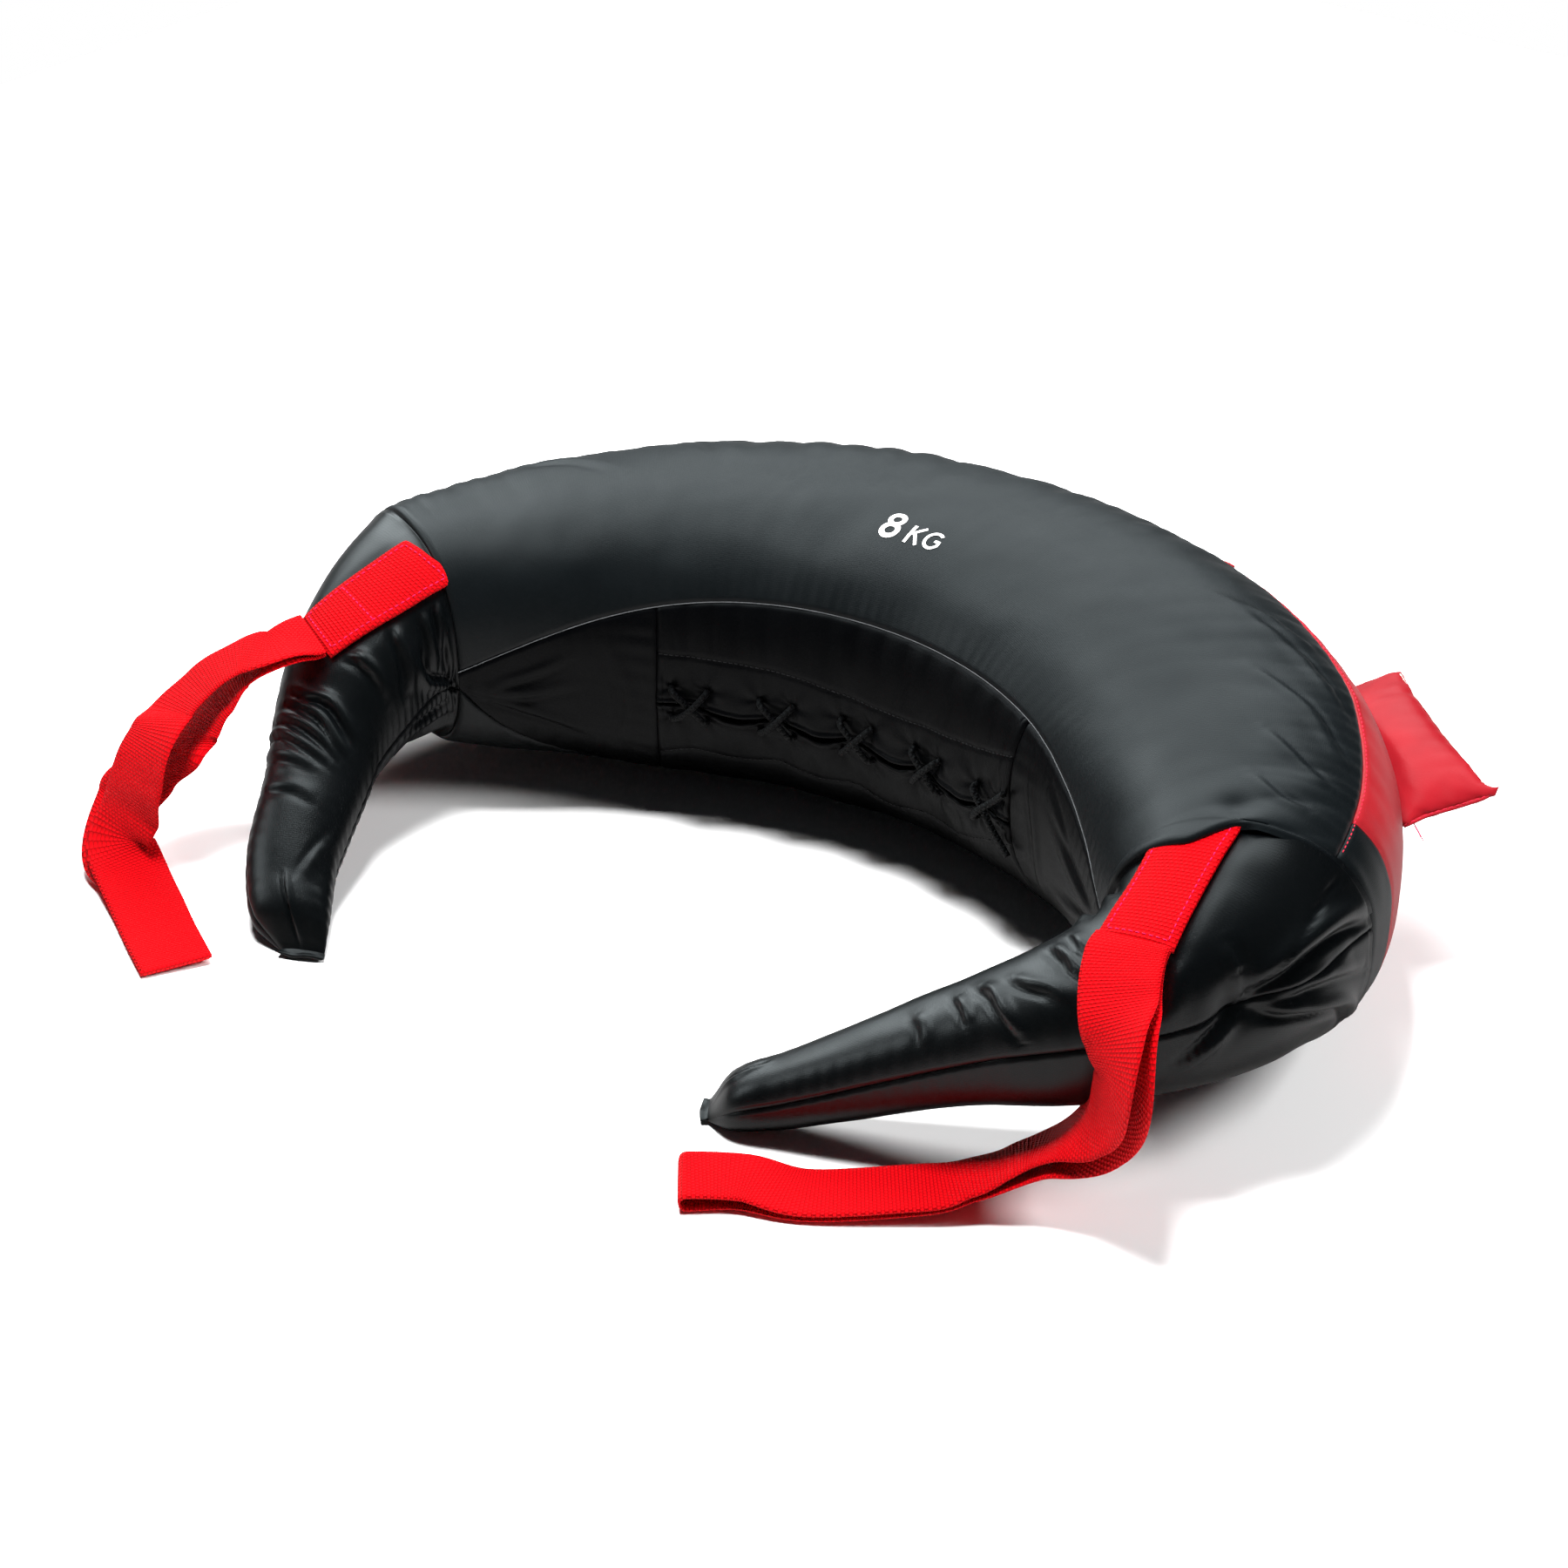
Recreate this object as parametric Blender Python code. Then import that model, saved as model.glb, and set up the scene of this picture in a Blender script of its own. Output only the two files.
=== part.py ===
"""Bulgarian bag: a filled crescent training bag with two tapering horns, two webbing
loops, three padded fins on its back and a laced filling port on its inner side.

Frame: +X to the right end, +Y to the convex back, +Z up, with the origin on the floor
under the middle of the belly.  The bag lies at rest on its belly and on both horn tips.
A place on the crescent is given by an arc angle, 0 at the middle and positive to the
right, and by a section angle, 0 on the convex back, 90 on top, 180 on the inner side.
"""
import math

import bpy
import bmesh
from mathutils import Vector
from mathutils.bvhtree import BVHTree

MM = 0.001

# Crescent
ARC_RADIUS = 311 * MM
ARC_HALF_ANGLE = math.radians(64.5)
BELLY_HALF_DEPTH = 109 * MM
BELLY_HALF_HEIGHT = 95 * MM
END_HALF_DEPTH = 68 * MM
END_HALF_HEIGHT = 66 * MM
END_LIFT = 29 * MM
REST_FLAT_DEPTH = 2 * MM
SECTION_POWER = 2.4

# Cover, seams and layers
COVER_WALL = 1.4 * MM
SEAM_GAP = 0.3 * MM
LAYER_GAP = 0.3 * MM
TONGUE_WALL = 1.2 * MM

# Horns
HORN_RIGHT_LENGTH = 216 * MM
HORN_LEFT_LENGTH = 173 * MM
HORN_RIGHT_TURN = math.radians(78)
HORN_LEFT_TURN = math.radians(41)
HORN_RIGHT_CURL = math.radians(4)
HORN_LEFT_CURL = math.radians(10)
HORN_TIP_HALF_THICKNESS = 2.2 * MM
HORN_ROOT_CLEARANCE = 1.8 * MM
HORN_ROOT_TUCK = 5 * MM
HORN_ROOT_TAPER = 0.5 * MM
HORN_SWING = math.radians(8)
HORN_ROOM = 2.5 * MM
HORN_CORE_END_GAP = 9 * MM

# Webbing
WEBBING_WIDTH = 40 * MM
WEBBING_PLY = 1.6 * MM
PATCH_LENGTH = 68 * MM
PATCH_OFFSET = 1.1 * MM
PATCH_STEP = 6 * MM
STRAP_REACH = 200 * MM
STRAP_RIGHT_OPENING = 9 * MM
STRAP_LEFT_OPENING = 20 * MM
PLY_GAP = 0.6 * MM
STRAP_START_GAP = 0.3 * MM
STRAP_START_RISE = 0.7 * MM
THREAD_THICKNESS = 0.9 * MM
THREAD_INSET = 4 * MM
THREAD_STANDOFF = 0.2 * MM
FLOOR_GAP = 0.2 * MM
PATCH_RIGHT_TURN = math.radians(-11.5)
PATCH_LEFT_TURN = math.radians(2.5)
PATCH_FALL = math.radians(19.3)
PATCH_RIGHT_START = math.radians(109.35)
PATCH_LEFT_START = math.radians(118.20)

# Fins
FIN_LENGTH = 134 * MM
FIN_DEPTH = 50 * MM
FIN_HALF_THICKNESS = 13 * MM
FIN_END_HALF_THICKNESS = 1.9 * MM
FIN_WALL = 1.3 * MM
FIN_NECK_HALF_THICKNESS = 2 * MM
FIN_NECK_GAP = 1.2 * MM
FIN_EDGE_DRAW = 3 * MM
FIN_ARC_ANGLE = math.radians(35.5)
FIN_TILT = math.radians(16)

# Filling
SAND_BAG_SHARE = 0.5
SAND_GAP = 0.4 * MM
FILLING_SPLIT_GAP = 0.4 * MM

# Lace
LACE_DIAMETER = 4 * MM
LACE_STANDOFF = 1 * MM
LACE_CROSS_HALF_WIDTH = 10 * MM
LACE_CROSS_HALF_HEIGHT = 10 * MM
LACE_TAIL = 14 * MM
LACE_ROOM = 1.6 * MM
LACE_HOLE_DIAMETER = 7 * MM
LACE_END_MARGIN = 8 * MM
LACE_GAP_HALF = 2.4 * MM

# Angles of the lacing section and of the seams round the section
LACING_LEFT = math.radians(-37)
LACING_RIGHT = math.radians(31)
BACK_SEAM_MIDDLE = math.radians(43)
BACK_SEAM_RISE = math.radians(6)
INNER_SEAM_MIDDLE = math.radians(147.5)
INNER_SEAM_RISE = math.radians(33)
UNDER_SEAM_MIDDLE = math.radians(238)
UNDER_SEAM_FALL = math.radians(48)
LACE_LINE = math.radians(188)
LACE_LINE_FALL = math.radians(2.75)
HORN_SEAM = math.radians(12)
LACE_CROSSINGS = 5
LACE_HOLE_SIDES = 8

# Shares along a horn, and its half depth, half height and lift there
horn_station_shares = (0.0, 0.12, 0.26, 0.40, 0.55, 0.70, 0.85, 0.95, 1.0)
horn_depth_shares = (1.0, 0.89, 0.69, 0.54, 0.445, 0.37, 0.30, 0.25, 0.15)
horn_height_shares = (1.0, 0.88, 0.67, 0.48, 0.355, 0.27, 0.19, 0.115, 0.033)
horn_lift_shares = (1.0, 1.24, 1.34, 1.17, 0.86, 0.48, 0.12, 0.0, 0.0)
horn_ring_shares = (0.0, 0.06, 0.14, 0.24, 0.36, 0.50, 0.66, 0.82, 0.93, 1.0)
HORN_START_PACE_SHARE = 0.22
HORN_TURN_SHARE = 0.42
HORN_LEAD = math.radians(9)

# Webbing loops from the stitch line on, as shares of the strap's reach: place, then the
# direction across the webbing, the opening between the plies as a share, and how far the
# lower ply stands to one side as a share of the webbing's width
right_loop_shares = (
    ((0.0, 0.0, 0.0), None, 0.0, 0.0),
    ((0.018, -0.064, -0.011), (0.98, 0.16, 0.00), 0.15, 0.00),
    ((0.068, -0.159, -0.051), (0.98, 0.06, 0.00), 0.40, 0.00),
    ((0.133, -0.244, -0.121), (0.95, -0.28, 0.00), 0.80, 0.00),
    ((0.163, -0.269, -0.236), (0.88, -0.46, 0.00), 1.00, 0.05),
    ((0.122, -0.229, -0.371), (0.85, -0.52, 0.08), 1.00, 0.10),
    ((0.043, -0.189, -0.486), (0.79, -0.61, 0.25), 0.80, 0.16),
    ((-0.037, -0.214, -0.576), (0.66, -0.72, 0.38), 0.30, 0.16),
    ((-0.083, -0.264, -0.611), (0.60, -0.76, 0.28), 0.10, 0.10),
    ((-0.163, -0.339, -0.631), (0.62, -0.79, 0.12), 0.00, 0.00),
    ((-0.278, -0.434, -0.641), (0.62, -0.79, 0.00), 0.00, 0.00),
    ((-0.532, -0.614, -0.641), (0.62, -0.79, 0.00), 0.10, 0.00),
    ((-0.698, -0.689, -0.633), (0.62, -0.79, 0.00), 0.75, 0.00),
    ((-0.823, -0.784, -0.631), (0.62, -0.79, 0.00), 0.75, 0.00),
)
left_loop_shares = (
    ((0.0, 0.0, 0.0), None, 0.0, 0.0),
    ((-0.036, -0.119, -0.010), (0.80, -0.58, 0.05), 0.10, 0.00),
    ((-0.116, -0.177, -0.033), (0.74, -0.67, 0.00), 0.35, 0.06),
    ((-0.176, -0.262, -0.083), (0.84, -0.54, 0.02), 0.75, 0.25),
    ((-0.196, -0.357, -0.147), (0.93, -0.25, 0.15), 0.95, 0.30),
    ((-0.176, -0.432, -0.223), (0.97, -0.10, 0.12), 1.00, 0.05),
    ((-0.191, -0.487, -0.323), (0.98, 0.05, 0.08), 0.90, -0.25),
    ((-0.216, -0.522, -0.422), (0.96, 0.20, 0.05), 0.60, -0.35),
    ((-0.226, -0.577, -0.497), (0.90, 0.40, 0.00), 0.20, -0.12),
    ((-0.136, -0.627, -0.547), (0.79, 0.61, 0.00), 0.05, 0.00),
    ((-0.006, -0.697, -0.568), (0.62, 0.78, 0.08), 0.00, 0.00),
    ((0.139, -0.782, -0.573), (0.55, 0.83, 0.06), 0.00, 0.00),
    ((0.264, -0.852, -0.573), (0.52, 0.85, 0.06), 0.00, 0.00),
)

# The lace over one crossing: share from hole to hole, and height as a share from the run
# behind the placket to the run on it; past 1 it climbs over the strand below
lace_under_shares = (
    (-0.10, 0.00), (-0.02, 0.12), (0.0, 0.45), (0.02, 0.80), (0.09, 1.00), (0.30, 1.00),
    (0.50, 1.00), (0.70, 1.00), (0.91, 1.00), (0.98, 0.80), (1.0, 0.45), (1.02, 0.12), (1.10, 0.00),
)
lace_over_shares = (
    (-0.10, 0.00), (-0.02, 0.12), (0.0, 0.45), (0.02, 0.80), (0.09, 1.10), (0.28, 1.70),
    (0.50, 2.00), (0.72, 1.70), (0.91, 1.10), (0.98, 0.80), (1.0, 0.45), (1.02, 0.12), (1.10, 0.00),
)

# Share by which the side of a sewn patch nearest the gap starts later, beside the seam
patch_cut_share = 0.13

# Shares along each horn where the sewn patch starts
PATCH_RIGHT_START_SHARE = 0.0717
PATCH_LEFT_START_SHARE = 0.0745

# Shares from a fin's neck to its outer edge where its section has corners
fin_ring_shares = (0.0, 0.07, 0.22, 0.48, 0.74, 0.92, 1.0)

# Counts of facets
CRESCENT_STEPS_OUTSIDE = 5
CRESCENT_STEPS_LACING = 10
TOP_STEPS = 8
BACK_STEPS = 6
BOTTOM_STEPS = 6
LENS_HALF_STEPS = 4
TONGUE_HALF_STEPS = 2
HORN_HALF_RING_STEPS = 8
FIN_LENGTH_STEPS = 8

COLOURS = {
    "black vinyl": ((0.016, 0.018, 0.021), 0.42, 0.0),
    "red vinyl": ((0.58, 0.030, 0.040), 0.45, 0.0),
    "red webbing": ((0.80, 0.010, 0.018), 0.80, 0.0),
    "magenta thread": ((0.75, 0.010, 0.12), 0.60, 0.0),
    "black cord": ((0.010, 0.010, 0.011), 0.80, 0.0),
    "black lining": ((0.014, 0.014, 0.015), 0.85, 0.0),
    "wool wadding": ((0.52, 0.50, 0.46), 0.95, 0.0),
    "sand bag cloth": ((0.30, 0.28, 0.22), 0.90, 0.0),
    "foam": ((0.70, 0.68, 0.60), 0.95, 0.0),
}


def clear_scene():
    """Remove every object that the file opened with."""
    for item in list(bpy.data.objects):
        bpy.data.objects.remove(item, do_unlink=True)


def material(name):
    """The material of that name, made on first use."""
    found = bpy.data.materials.get(name)
    if found:
        return found
    colour, roughness, metallic = COLOURS[name]
    made = bpy.data.materials.new(name)
    made.use_nodes = True
    shader = made.node_tree.nodes["Principled BSDF"]
    shader.inputs["Base Color"].default_value = (*colour, 1.0)
    shader.inputs["Roughness"].default_value = roughness
    shader.inputs["Metallic"].default_value = metallic
    return made


def hinge(name, place, parent=None):
    """An empty on a joint's axis, for a moving piece to be parented to."""
    empty = bpy.data.objects.new(name, None)
    bpy.context.collection.objects.link(empty)
    empty.empty_display_size = END_HALF_DEPTH
    if parent:
        empty.parent = parent
        empty.location = place - world_place(parent)
    else:
        empty.location = place
    return empty


def world_place(item):
    """World location of an empty, whose parents are moved but never turned."""
    place = item.location.copy()
    while item.parent:
        item = item.parent
        place += item.location
    return place


def solid(name, points, faces, finish, parent=None):
    """One closed body from world points and faces, with its faces turned outwards."""
    shift = world_place(parent) if parent else Vector((0, 0, 0))
    mesh = bpy.data.meshes.new(name)
    mesh.from_pydata([point - shift for point in points], [], faces)
    work = bmesh.new()
    work.from_mesh(mesh)
    bmesh.ops.recalc_face_normals(work, faces=work.faces)
    work.to_mesh(mesh)
    work.free()
    mesh.materials.append(material(finish))
    mesh.shade_smooth()
    mesh.set_sharp_from_angle(angle=math.radians(40))
    item = bpy.data.objects.new(name, mesh)
    bpy.context.collection.objects.link(item)
    item.parent = parent
    return item


def ease(value):
    """Smooth step from 0 to 1."""
    value = min(max(value, 0.0), 1.0)
    return value * value * (3 - 2 * value)


def through(stations, values, place):
    """Smooth curve through the values at the stations, which rise from 0 to 1."""
    last = len(stations) - 1
    index = 0
    while index < last - 1 and place > stations[index + 1]:
        index += 1

    def slope(k):
        before, after = max(k - 1, 0), min(k + 1, last)
        return (values[after] - values[before]) * (1 / (stations[after] - stations[before]))

    span = stations[index + 1] - stations[index]
    t = (place - stations[index]) / span
    h00, h10 = 2 * t ** 3 - 3 * t ** 2 + 1, t ** 3 - 2 * t ** 2 + t
    h01, h11 = 3 * t ** 2 - 2 * t ** 3, t ** 3 - t ** 2
    start, end = values[index], values[index + 1]
    return h00 * start + h01 * end + (h10 * slope(index) + h11 * slope(index + 1)) * span


def section_offset(half_depth, half_height, theta):
    """Offset outwards and upwards from the centre of a rounded section."""
    across, up = math.cos(theta), math.sin(theta)
    power = SECTION_POWER
    size = (abs(across) ** power + abs(up) ** power) ** (-1 / power)
    return half_depth * size * across, half_height * size * up


def crescent_section(phi):
    """Half depth, half height and lowest point of the crescent at an arc angle."""
    share = abs(phi) / ARC_HALF_ANGLE
    taper = share ** 2.5
    half_depth = BELLY_HALF_DEPTH + (END_HALF_DEPTH - BELLY_HALF_DEPTH) * taper
    half_height = BELLY_HALF_HEIGHT + (END_HALF_HEIGHT - BELLY_HALF_HEIGHT) * taper
    low = -REST_FLAT_DEPTH + (END_LIFT + REST_FLAT_DEPTH) * share ** 3
    return half_depth, half_height, low


def crescent_point(phi, theta, inset=0.0):
    """Point on the crescent's skin, or that far inside it.  The belly is flat where it rests."""
    half_depth, half_height, low = crescent_section(phi)
    out, up = section_offset(half_depth - inset, half_height - inset, theta)
    radius = ARC_RADIUS + out
    height = max(low + half_height + up, inset)
    return Vector((radius * math.sin(phi), radius * math.cos(phi) - ARC_RADIUS, height))


def back_seam(phi):
    """Section angle of the seam between the black top and the red back."""
    return BACK_SEAM_MIDDLE + BACK_SEAM_RISE * (phi / ARC_HALF_ANGLE) ** 2


def inner_seam(phi):
    """Section angle of the seam above the lens-shaped inner panel."""
    return INNER_SEAM_MIDDLE + INNER_SEAM_RISE * abs(phi / ARC_HALF_ANGLE) ** 3.8


def under_seam(phi):
    """Section angle of the seam below the lens-shaped inner panel."""
    return UNDER_SEAM_MIDDLE - UNDER_SEAM_FALL * abs(phi / ARC_HALF_ANGLE) ** 6


def lace_line(phi):
    """Section angle of the line along which the lacing closes."""
    return LACE_LINE - LACE_LINE_FALL * abs(phi / ARC_HALF_ANGLE) ** 6


def spaced(start, end, steps):
    """Evenly spaced values from start to end."""
    return [start + (end - start) * k / steps for k in range(steps + 1)]


def crescent_stations():
    """Arc angles of the crescent's rings, with one at each end of filling and lacing."""
    steps = CRESCENT_STEPS_OUTSIDE - 1
    left = [-ARC_HALF_ANGLE] + spaced(-filling_end(), LACING_LEFT, steps)
    middle = spaced(LACING_LEFT, LACING_RIGHT, CRESCENT_STEPS_LACING)
    right = spaced(LACING_RIGHT, filling_end(), steps) + [ARC_HALF_ANGLE]
    return left + middle[1:] + right[1:]


def ring_angles(phi):
    """Section angles right round the crescent, with one on every lengthwise seam."""
    back, inner, lace, under = back_seam(phi), inner_seam(phi), lace_line(phi), under_seam(phi)
    top = spaced(back, inner, TOP_STEPS)
    upper = spaced(inner, lace, LENS_HALF_STEPS)
    lower = spaced(lace, under, LENS_HALF_STEPS)
    bottom = spaced(under, 2 * math.pi - back, BOTTOM_STEPS)
    rear = spaced(-back, back, BACK_STEPS)
    return top[:-1] + upper[:-1] + lower[:-1] + bottom[:-1] + rear[:-1]


def grid_faces(rows, columns, first):
    """Triangles of a grid of points, with every diagonal laid the same way."""
    faces = []
    for i in range(rows - 1):
        for j in range(columns - 1):
            a = first + i * columns + j
            b, c, d = a + 1, a + columns + 1, a + columns
            faces += [(a, b, c), (a, c, d)]
    return faces


def plate(name, outer, inner, finish, parent=None):
    """A closed sheet between an outer and an inner grid of points."""
    rows, columns = len(outer), len(outer[0])
    points = [point for row in outer for point in row] + [point for row in inner for point in row]
    count = rows * columns
    faces = grid_faces(rows, columns, 0) + grid_faces(rows, columns, count)
    edge = [j for j in range(columns)]
    edge += [i * columns + columns - 1 for i in range(1, rows)]
    edge += [(rows - 1) * columns + j for j in range(columns - 2, -1, -1)]
    edge += [i * columns for i in range(rows - 2, 0, -1)]
    for k, here in enumerate(edge):
        there = edge[(k + 1) % len(edge)]
        faces += [(here, there, there + count), (here, there + count, here + count)]
    return solid(name, points, faces, finish, parent)


def ring_faces(rings, count, first):
    """Triangles between neighbouring closed rings of points."""
    faces = []
    for i in range(rings - 1):
        for j in range(count):
            a, b = first + i * count + j, first + i * count + (j + 1) % count
            faces += [(a, b, b + count), (a, b + count, a + count)]
    return faces


def capped_tube(name, rings, finish, parent=None):
    """A solid through closed rings of points, with a flat cap at each end."""
    count = len(rings[0])
    points = [point for ring in rings for point in ring]
    faces = ring_faces(len(rings), count, 0)
    for start in (0, (len(rings) - 1) * count):
        centre = sum((points[start + j] for j in range(count)), Vector((0, 0, 0))) / count
        points.append(centre)
        hub = len(points) - 1
        faces += [(start + j, start + (j + 1) % count, hub) for j in range(count)]
    return solid(name, points, faces, finish, parent)


def hollow_tube(name, outer, inner, finish):
    """A tube wall between outer and inner closed rings, open at both ends."""
    count = len(outer[0])
    points = [point for ring in outer for point in ring] + [point for ring in inner for point in ring]
    offset = len(outer) * count
    faces = ring_faces(len(outer), count, 0) + ring_faces(len(inner), count, offset)
    for start in (0, (len(outer) - 1) * count):
        for j in range(count):
            a, b = start + j, start + (j + 1) % count
            faces += [(a, b, b + offset), (a, b + offset, a + offset)]
    return solid(name, points, faces, finish)


def crescent_panel(name, stations, angles_at, finish, wall=COVER_WALL, depth=0.0):
    """A panel of the cover over some rings and section angles, drawn in by half a seam gap."""
    half_gap = SEAM_GAP / 2
    end_gap = half_gap / (ARC_RADIUS - BELLY_HALF_DEPTH)
    outer, inner = [], []
    for k, phi in enumerate(stations):
        angles = list(angles_at(phi))
        side_gap = half_gap * 1.3 / crescent_section(phi)[1]
        angles[0] += side_gap
        angles[-1] -= side_gap
        place = phi
        if k == 0 and phi > -ARC_HALF_ANGLE:
            place += end_gap
        if k == len(stations) - 1 and phi < ARC_HALF_ANGLE:
            place -= end_gap
        outer.append([crescent_point(place, theta, depth) for theta in angles])
        inner.append([crescent_point(place, theta, depth + wall) for theta in angles])
    return plate(name, outer, inner, finish)


def make_cover():
    """The sewn panels of the crescent."""
    stations = crescent_stations()
    first = CRESCENT_STEPS_OUTSIDE
    last = CRESCENT_STEPS_OUTSIDE + CRESCENT_STEPS_LACING
    left, lacing, right = stations[:first + 1], stations[first:last + 1], stations[last:]
    crescent_panel("top_panel", stations,
                   lambda phi: spaced(back_seam(phi), inner_seam(phi), TOP_STEPS), "black vinyl")
    crescent_panel("back_panel", stations,
                   lambda phi: spaced(-back_seam(phi), back_seam(phi), BACK_STEPS), "red vinyl")
    crescent_panel("bottom_panel", stations,
                   lambda phi: spaced(under_seam(phi), 2 * math.pi - back_seam(phi), BOTTOM_STEPS),
                   "black vinyl")

    def lens(phi):
        upper = spaced(inner_seam(phi), lace_line(phi), LENS_HALF_STEPS)
        return upper + spaced(lace_line(phi), under_seam(phi), LENS_HALF_STEPS)[1:]

    def gap(phi):
        return LACE_GAP_HALF / crescent_section(phi)[1]

    crescent_panel("gusset_left", left, lens, "black vinyl")
    crescent_panel("gusset_right", right, lens, "black vinyl")
    crescent_panel("placket_upper", lacing,
                   lambda phi: spaced(inner_seam(phi), lace_line(phi) - gap(phi), LENS_HALF_STEPS),
                   "black vinyl")
    crescent_panel("placket_lower", lacing,
                   lambda phi: spaced(lace_line(phi) + gap(phi), under_seam(phi), LENS_HALF_STEPS),
                   "black vinyl")


def tongue_depth():
    """How far inside the skin the tongue lies, with the lace running behind the plackets."""
    return COVER_WALL + LACE_DIAMETER + 2 * LAYER_GAP + LACE_ROOM


def tongue_stations():
    """Arc angles of the rings that the lacing tongue reaches."""
    first = CRESCENT_STEPS_OUTSIDE + 1
    return crescent_stations()[first:first + CRESCENT_STEPS_LACING - 1]


def make_tongue():
    """The lining flap behind the lacing."""
    def angles(phi):
        upper = spaced(inner_seam(phi), lace_line(phi), LENS_HALF_STEPS)
        lower = spaced(lace_line(phi), under_seam(phi), LENS_HALF_STEPS)
        return upper[-TONGUE_HALF_STEPS - 1:] + lower[1:TONGUE_HALF_STEPS + 1]

    crescent_panel("lacing_tongue", tongue_stations(), angles, "black lining",
                   TONGUE_WALL, tongue_depth())


def filling_inset(phi, theta):
    """How far inside the skin the filling starts: deeper behind the lacing tongue."""
    deep = tongue_depth() + TONGUE_WALL + LAYER_GAP
    near = SEAM_GAP / BELLY_HALF_HEIGHT
    if LACING_LEFT - near < phi < LACING_RIGHT + near:
        if inner_seam(phi) + near < theta < under_seam(phi) - near:
            return deep
    return COVER_WALL + LAYER_GAP


def filling_end():
    """Arc angle where the filling stops, to leave room for the root of a swinging horn."""
    swing = END_HALF_DEPTH * math.sin(HORN_SWING)
    room = HORN_ROOT_TUCK + swing + HORN_ROOM
    return ARC_HALF_ANGLE - room / (ARC_RADIUS - END_HALF_DEPTH)


def sand_ring(phi, spare=0.0):
    """Ring of a sand bag at an arc angle, or of the pocket that holds it."""
    half_depth, half_height, low = crescent_section(phi)
    ring = []
    for theta in ring_angles(phi):
        deep, high = half_depth * SAND_BAG_SHARE + spare, half_height * SAND_BAG_SHARE + spare
        out, up = section_offset(deep, high, theta)
        radius = ARC_RADIUS + out
        ring.append(Vector((radius * math.sin(phi), radius * math.cos(phi) - ARC_RADIUS,
                            low + half_height + up)))
    return ring


def make_filling():
    """Three lengths of wadding, each wrapped round its sand bag."""
    stations = crescent_stations()
    split_left = stations[CRESCENT_STEPS_OUTSIDE + 2]
    split_right = stations[CRESCENT_STEPS_OUTSIDE + CRESCENT_STEPS_LACING - 2]
    half_split = FILLING_SPLIT_GAP / 2 / (ARC_RADIUS - BELLY_HALF_DEPTH)
    end = filling_end()
    spans = {
        "left": (-end, split_left - half_split),
        "middle": (split_left + half_split, split_right - half_split),
        "right": (split_right + half_split, end),
    }
    for side, (start, stop) in spans.items():
        rings = [start] + [phi for phi in stations if start < phi < stop] + [stop]
        outer, inner, sand = [], [], []
        for phi in rings:
            outer.append(filling_ring(phi))
            inner.append(sand_ring(phi, SAND_GAP))
        for phi in rings:
            sand.append(sand_ring(phi))
        hollow_tube("wadding_" + side, outer, inner, "wool wadding")
        capped_tube("sand_bag_" + side, sand, "sand bag cloth")


def filling_ring(phi):
    """Ring of the filling, which keeps to the flat facets of the panels between their rings."""
    stations = crescent_stations()
    after = next(k for k, station in enumerate(stations) if station >= phi and k > 0)
    start, stop = stations[after - 1], stations[after]
    share = (phi - start) / (stop - start)
    here, there = [
        [crescent_point(station, theta, filling_inset(station, theta))
         for theta in ring_angles(station)] for station in (start, stop)]
    return [point.lerp(other, share) for point, other in zip(here, there)]


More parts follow.
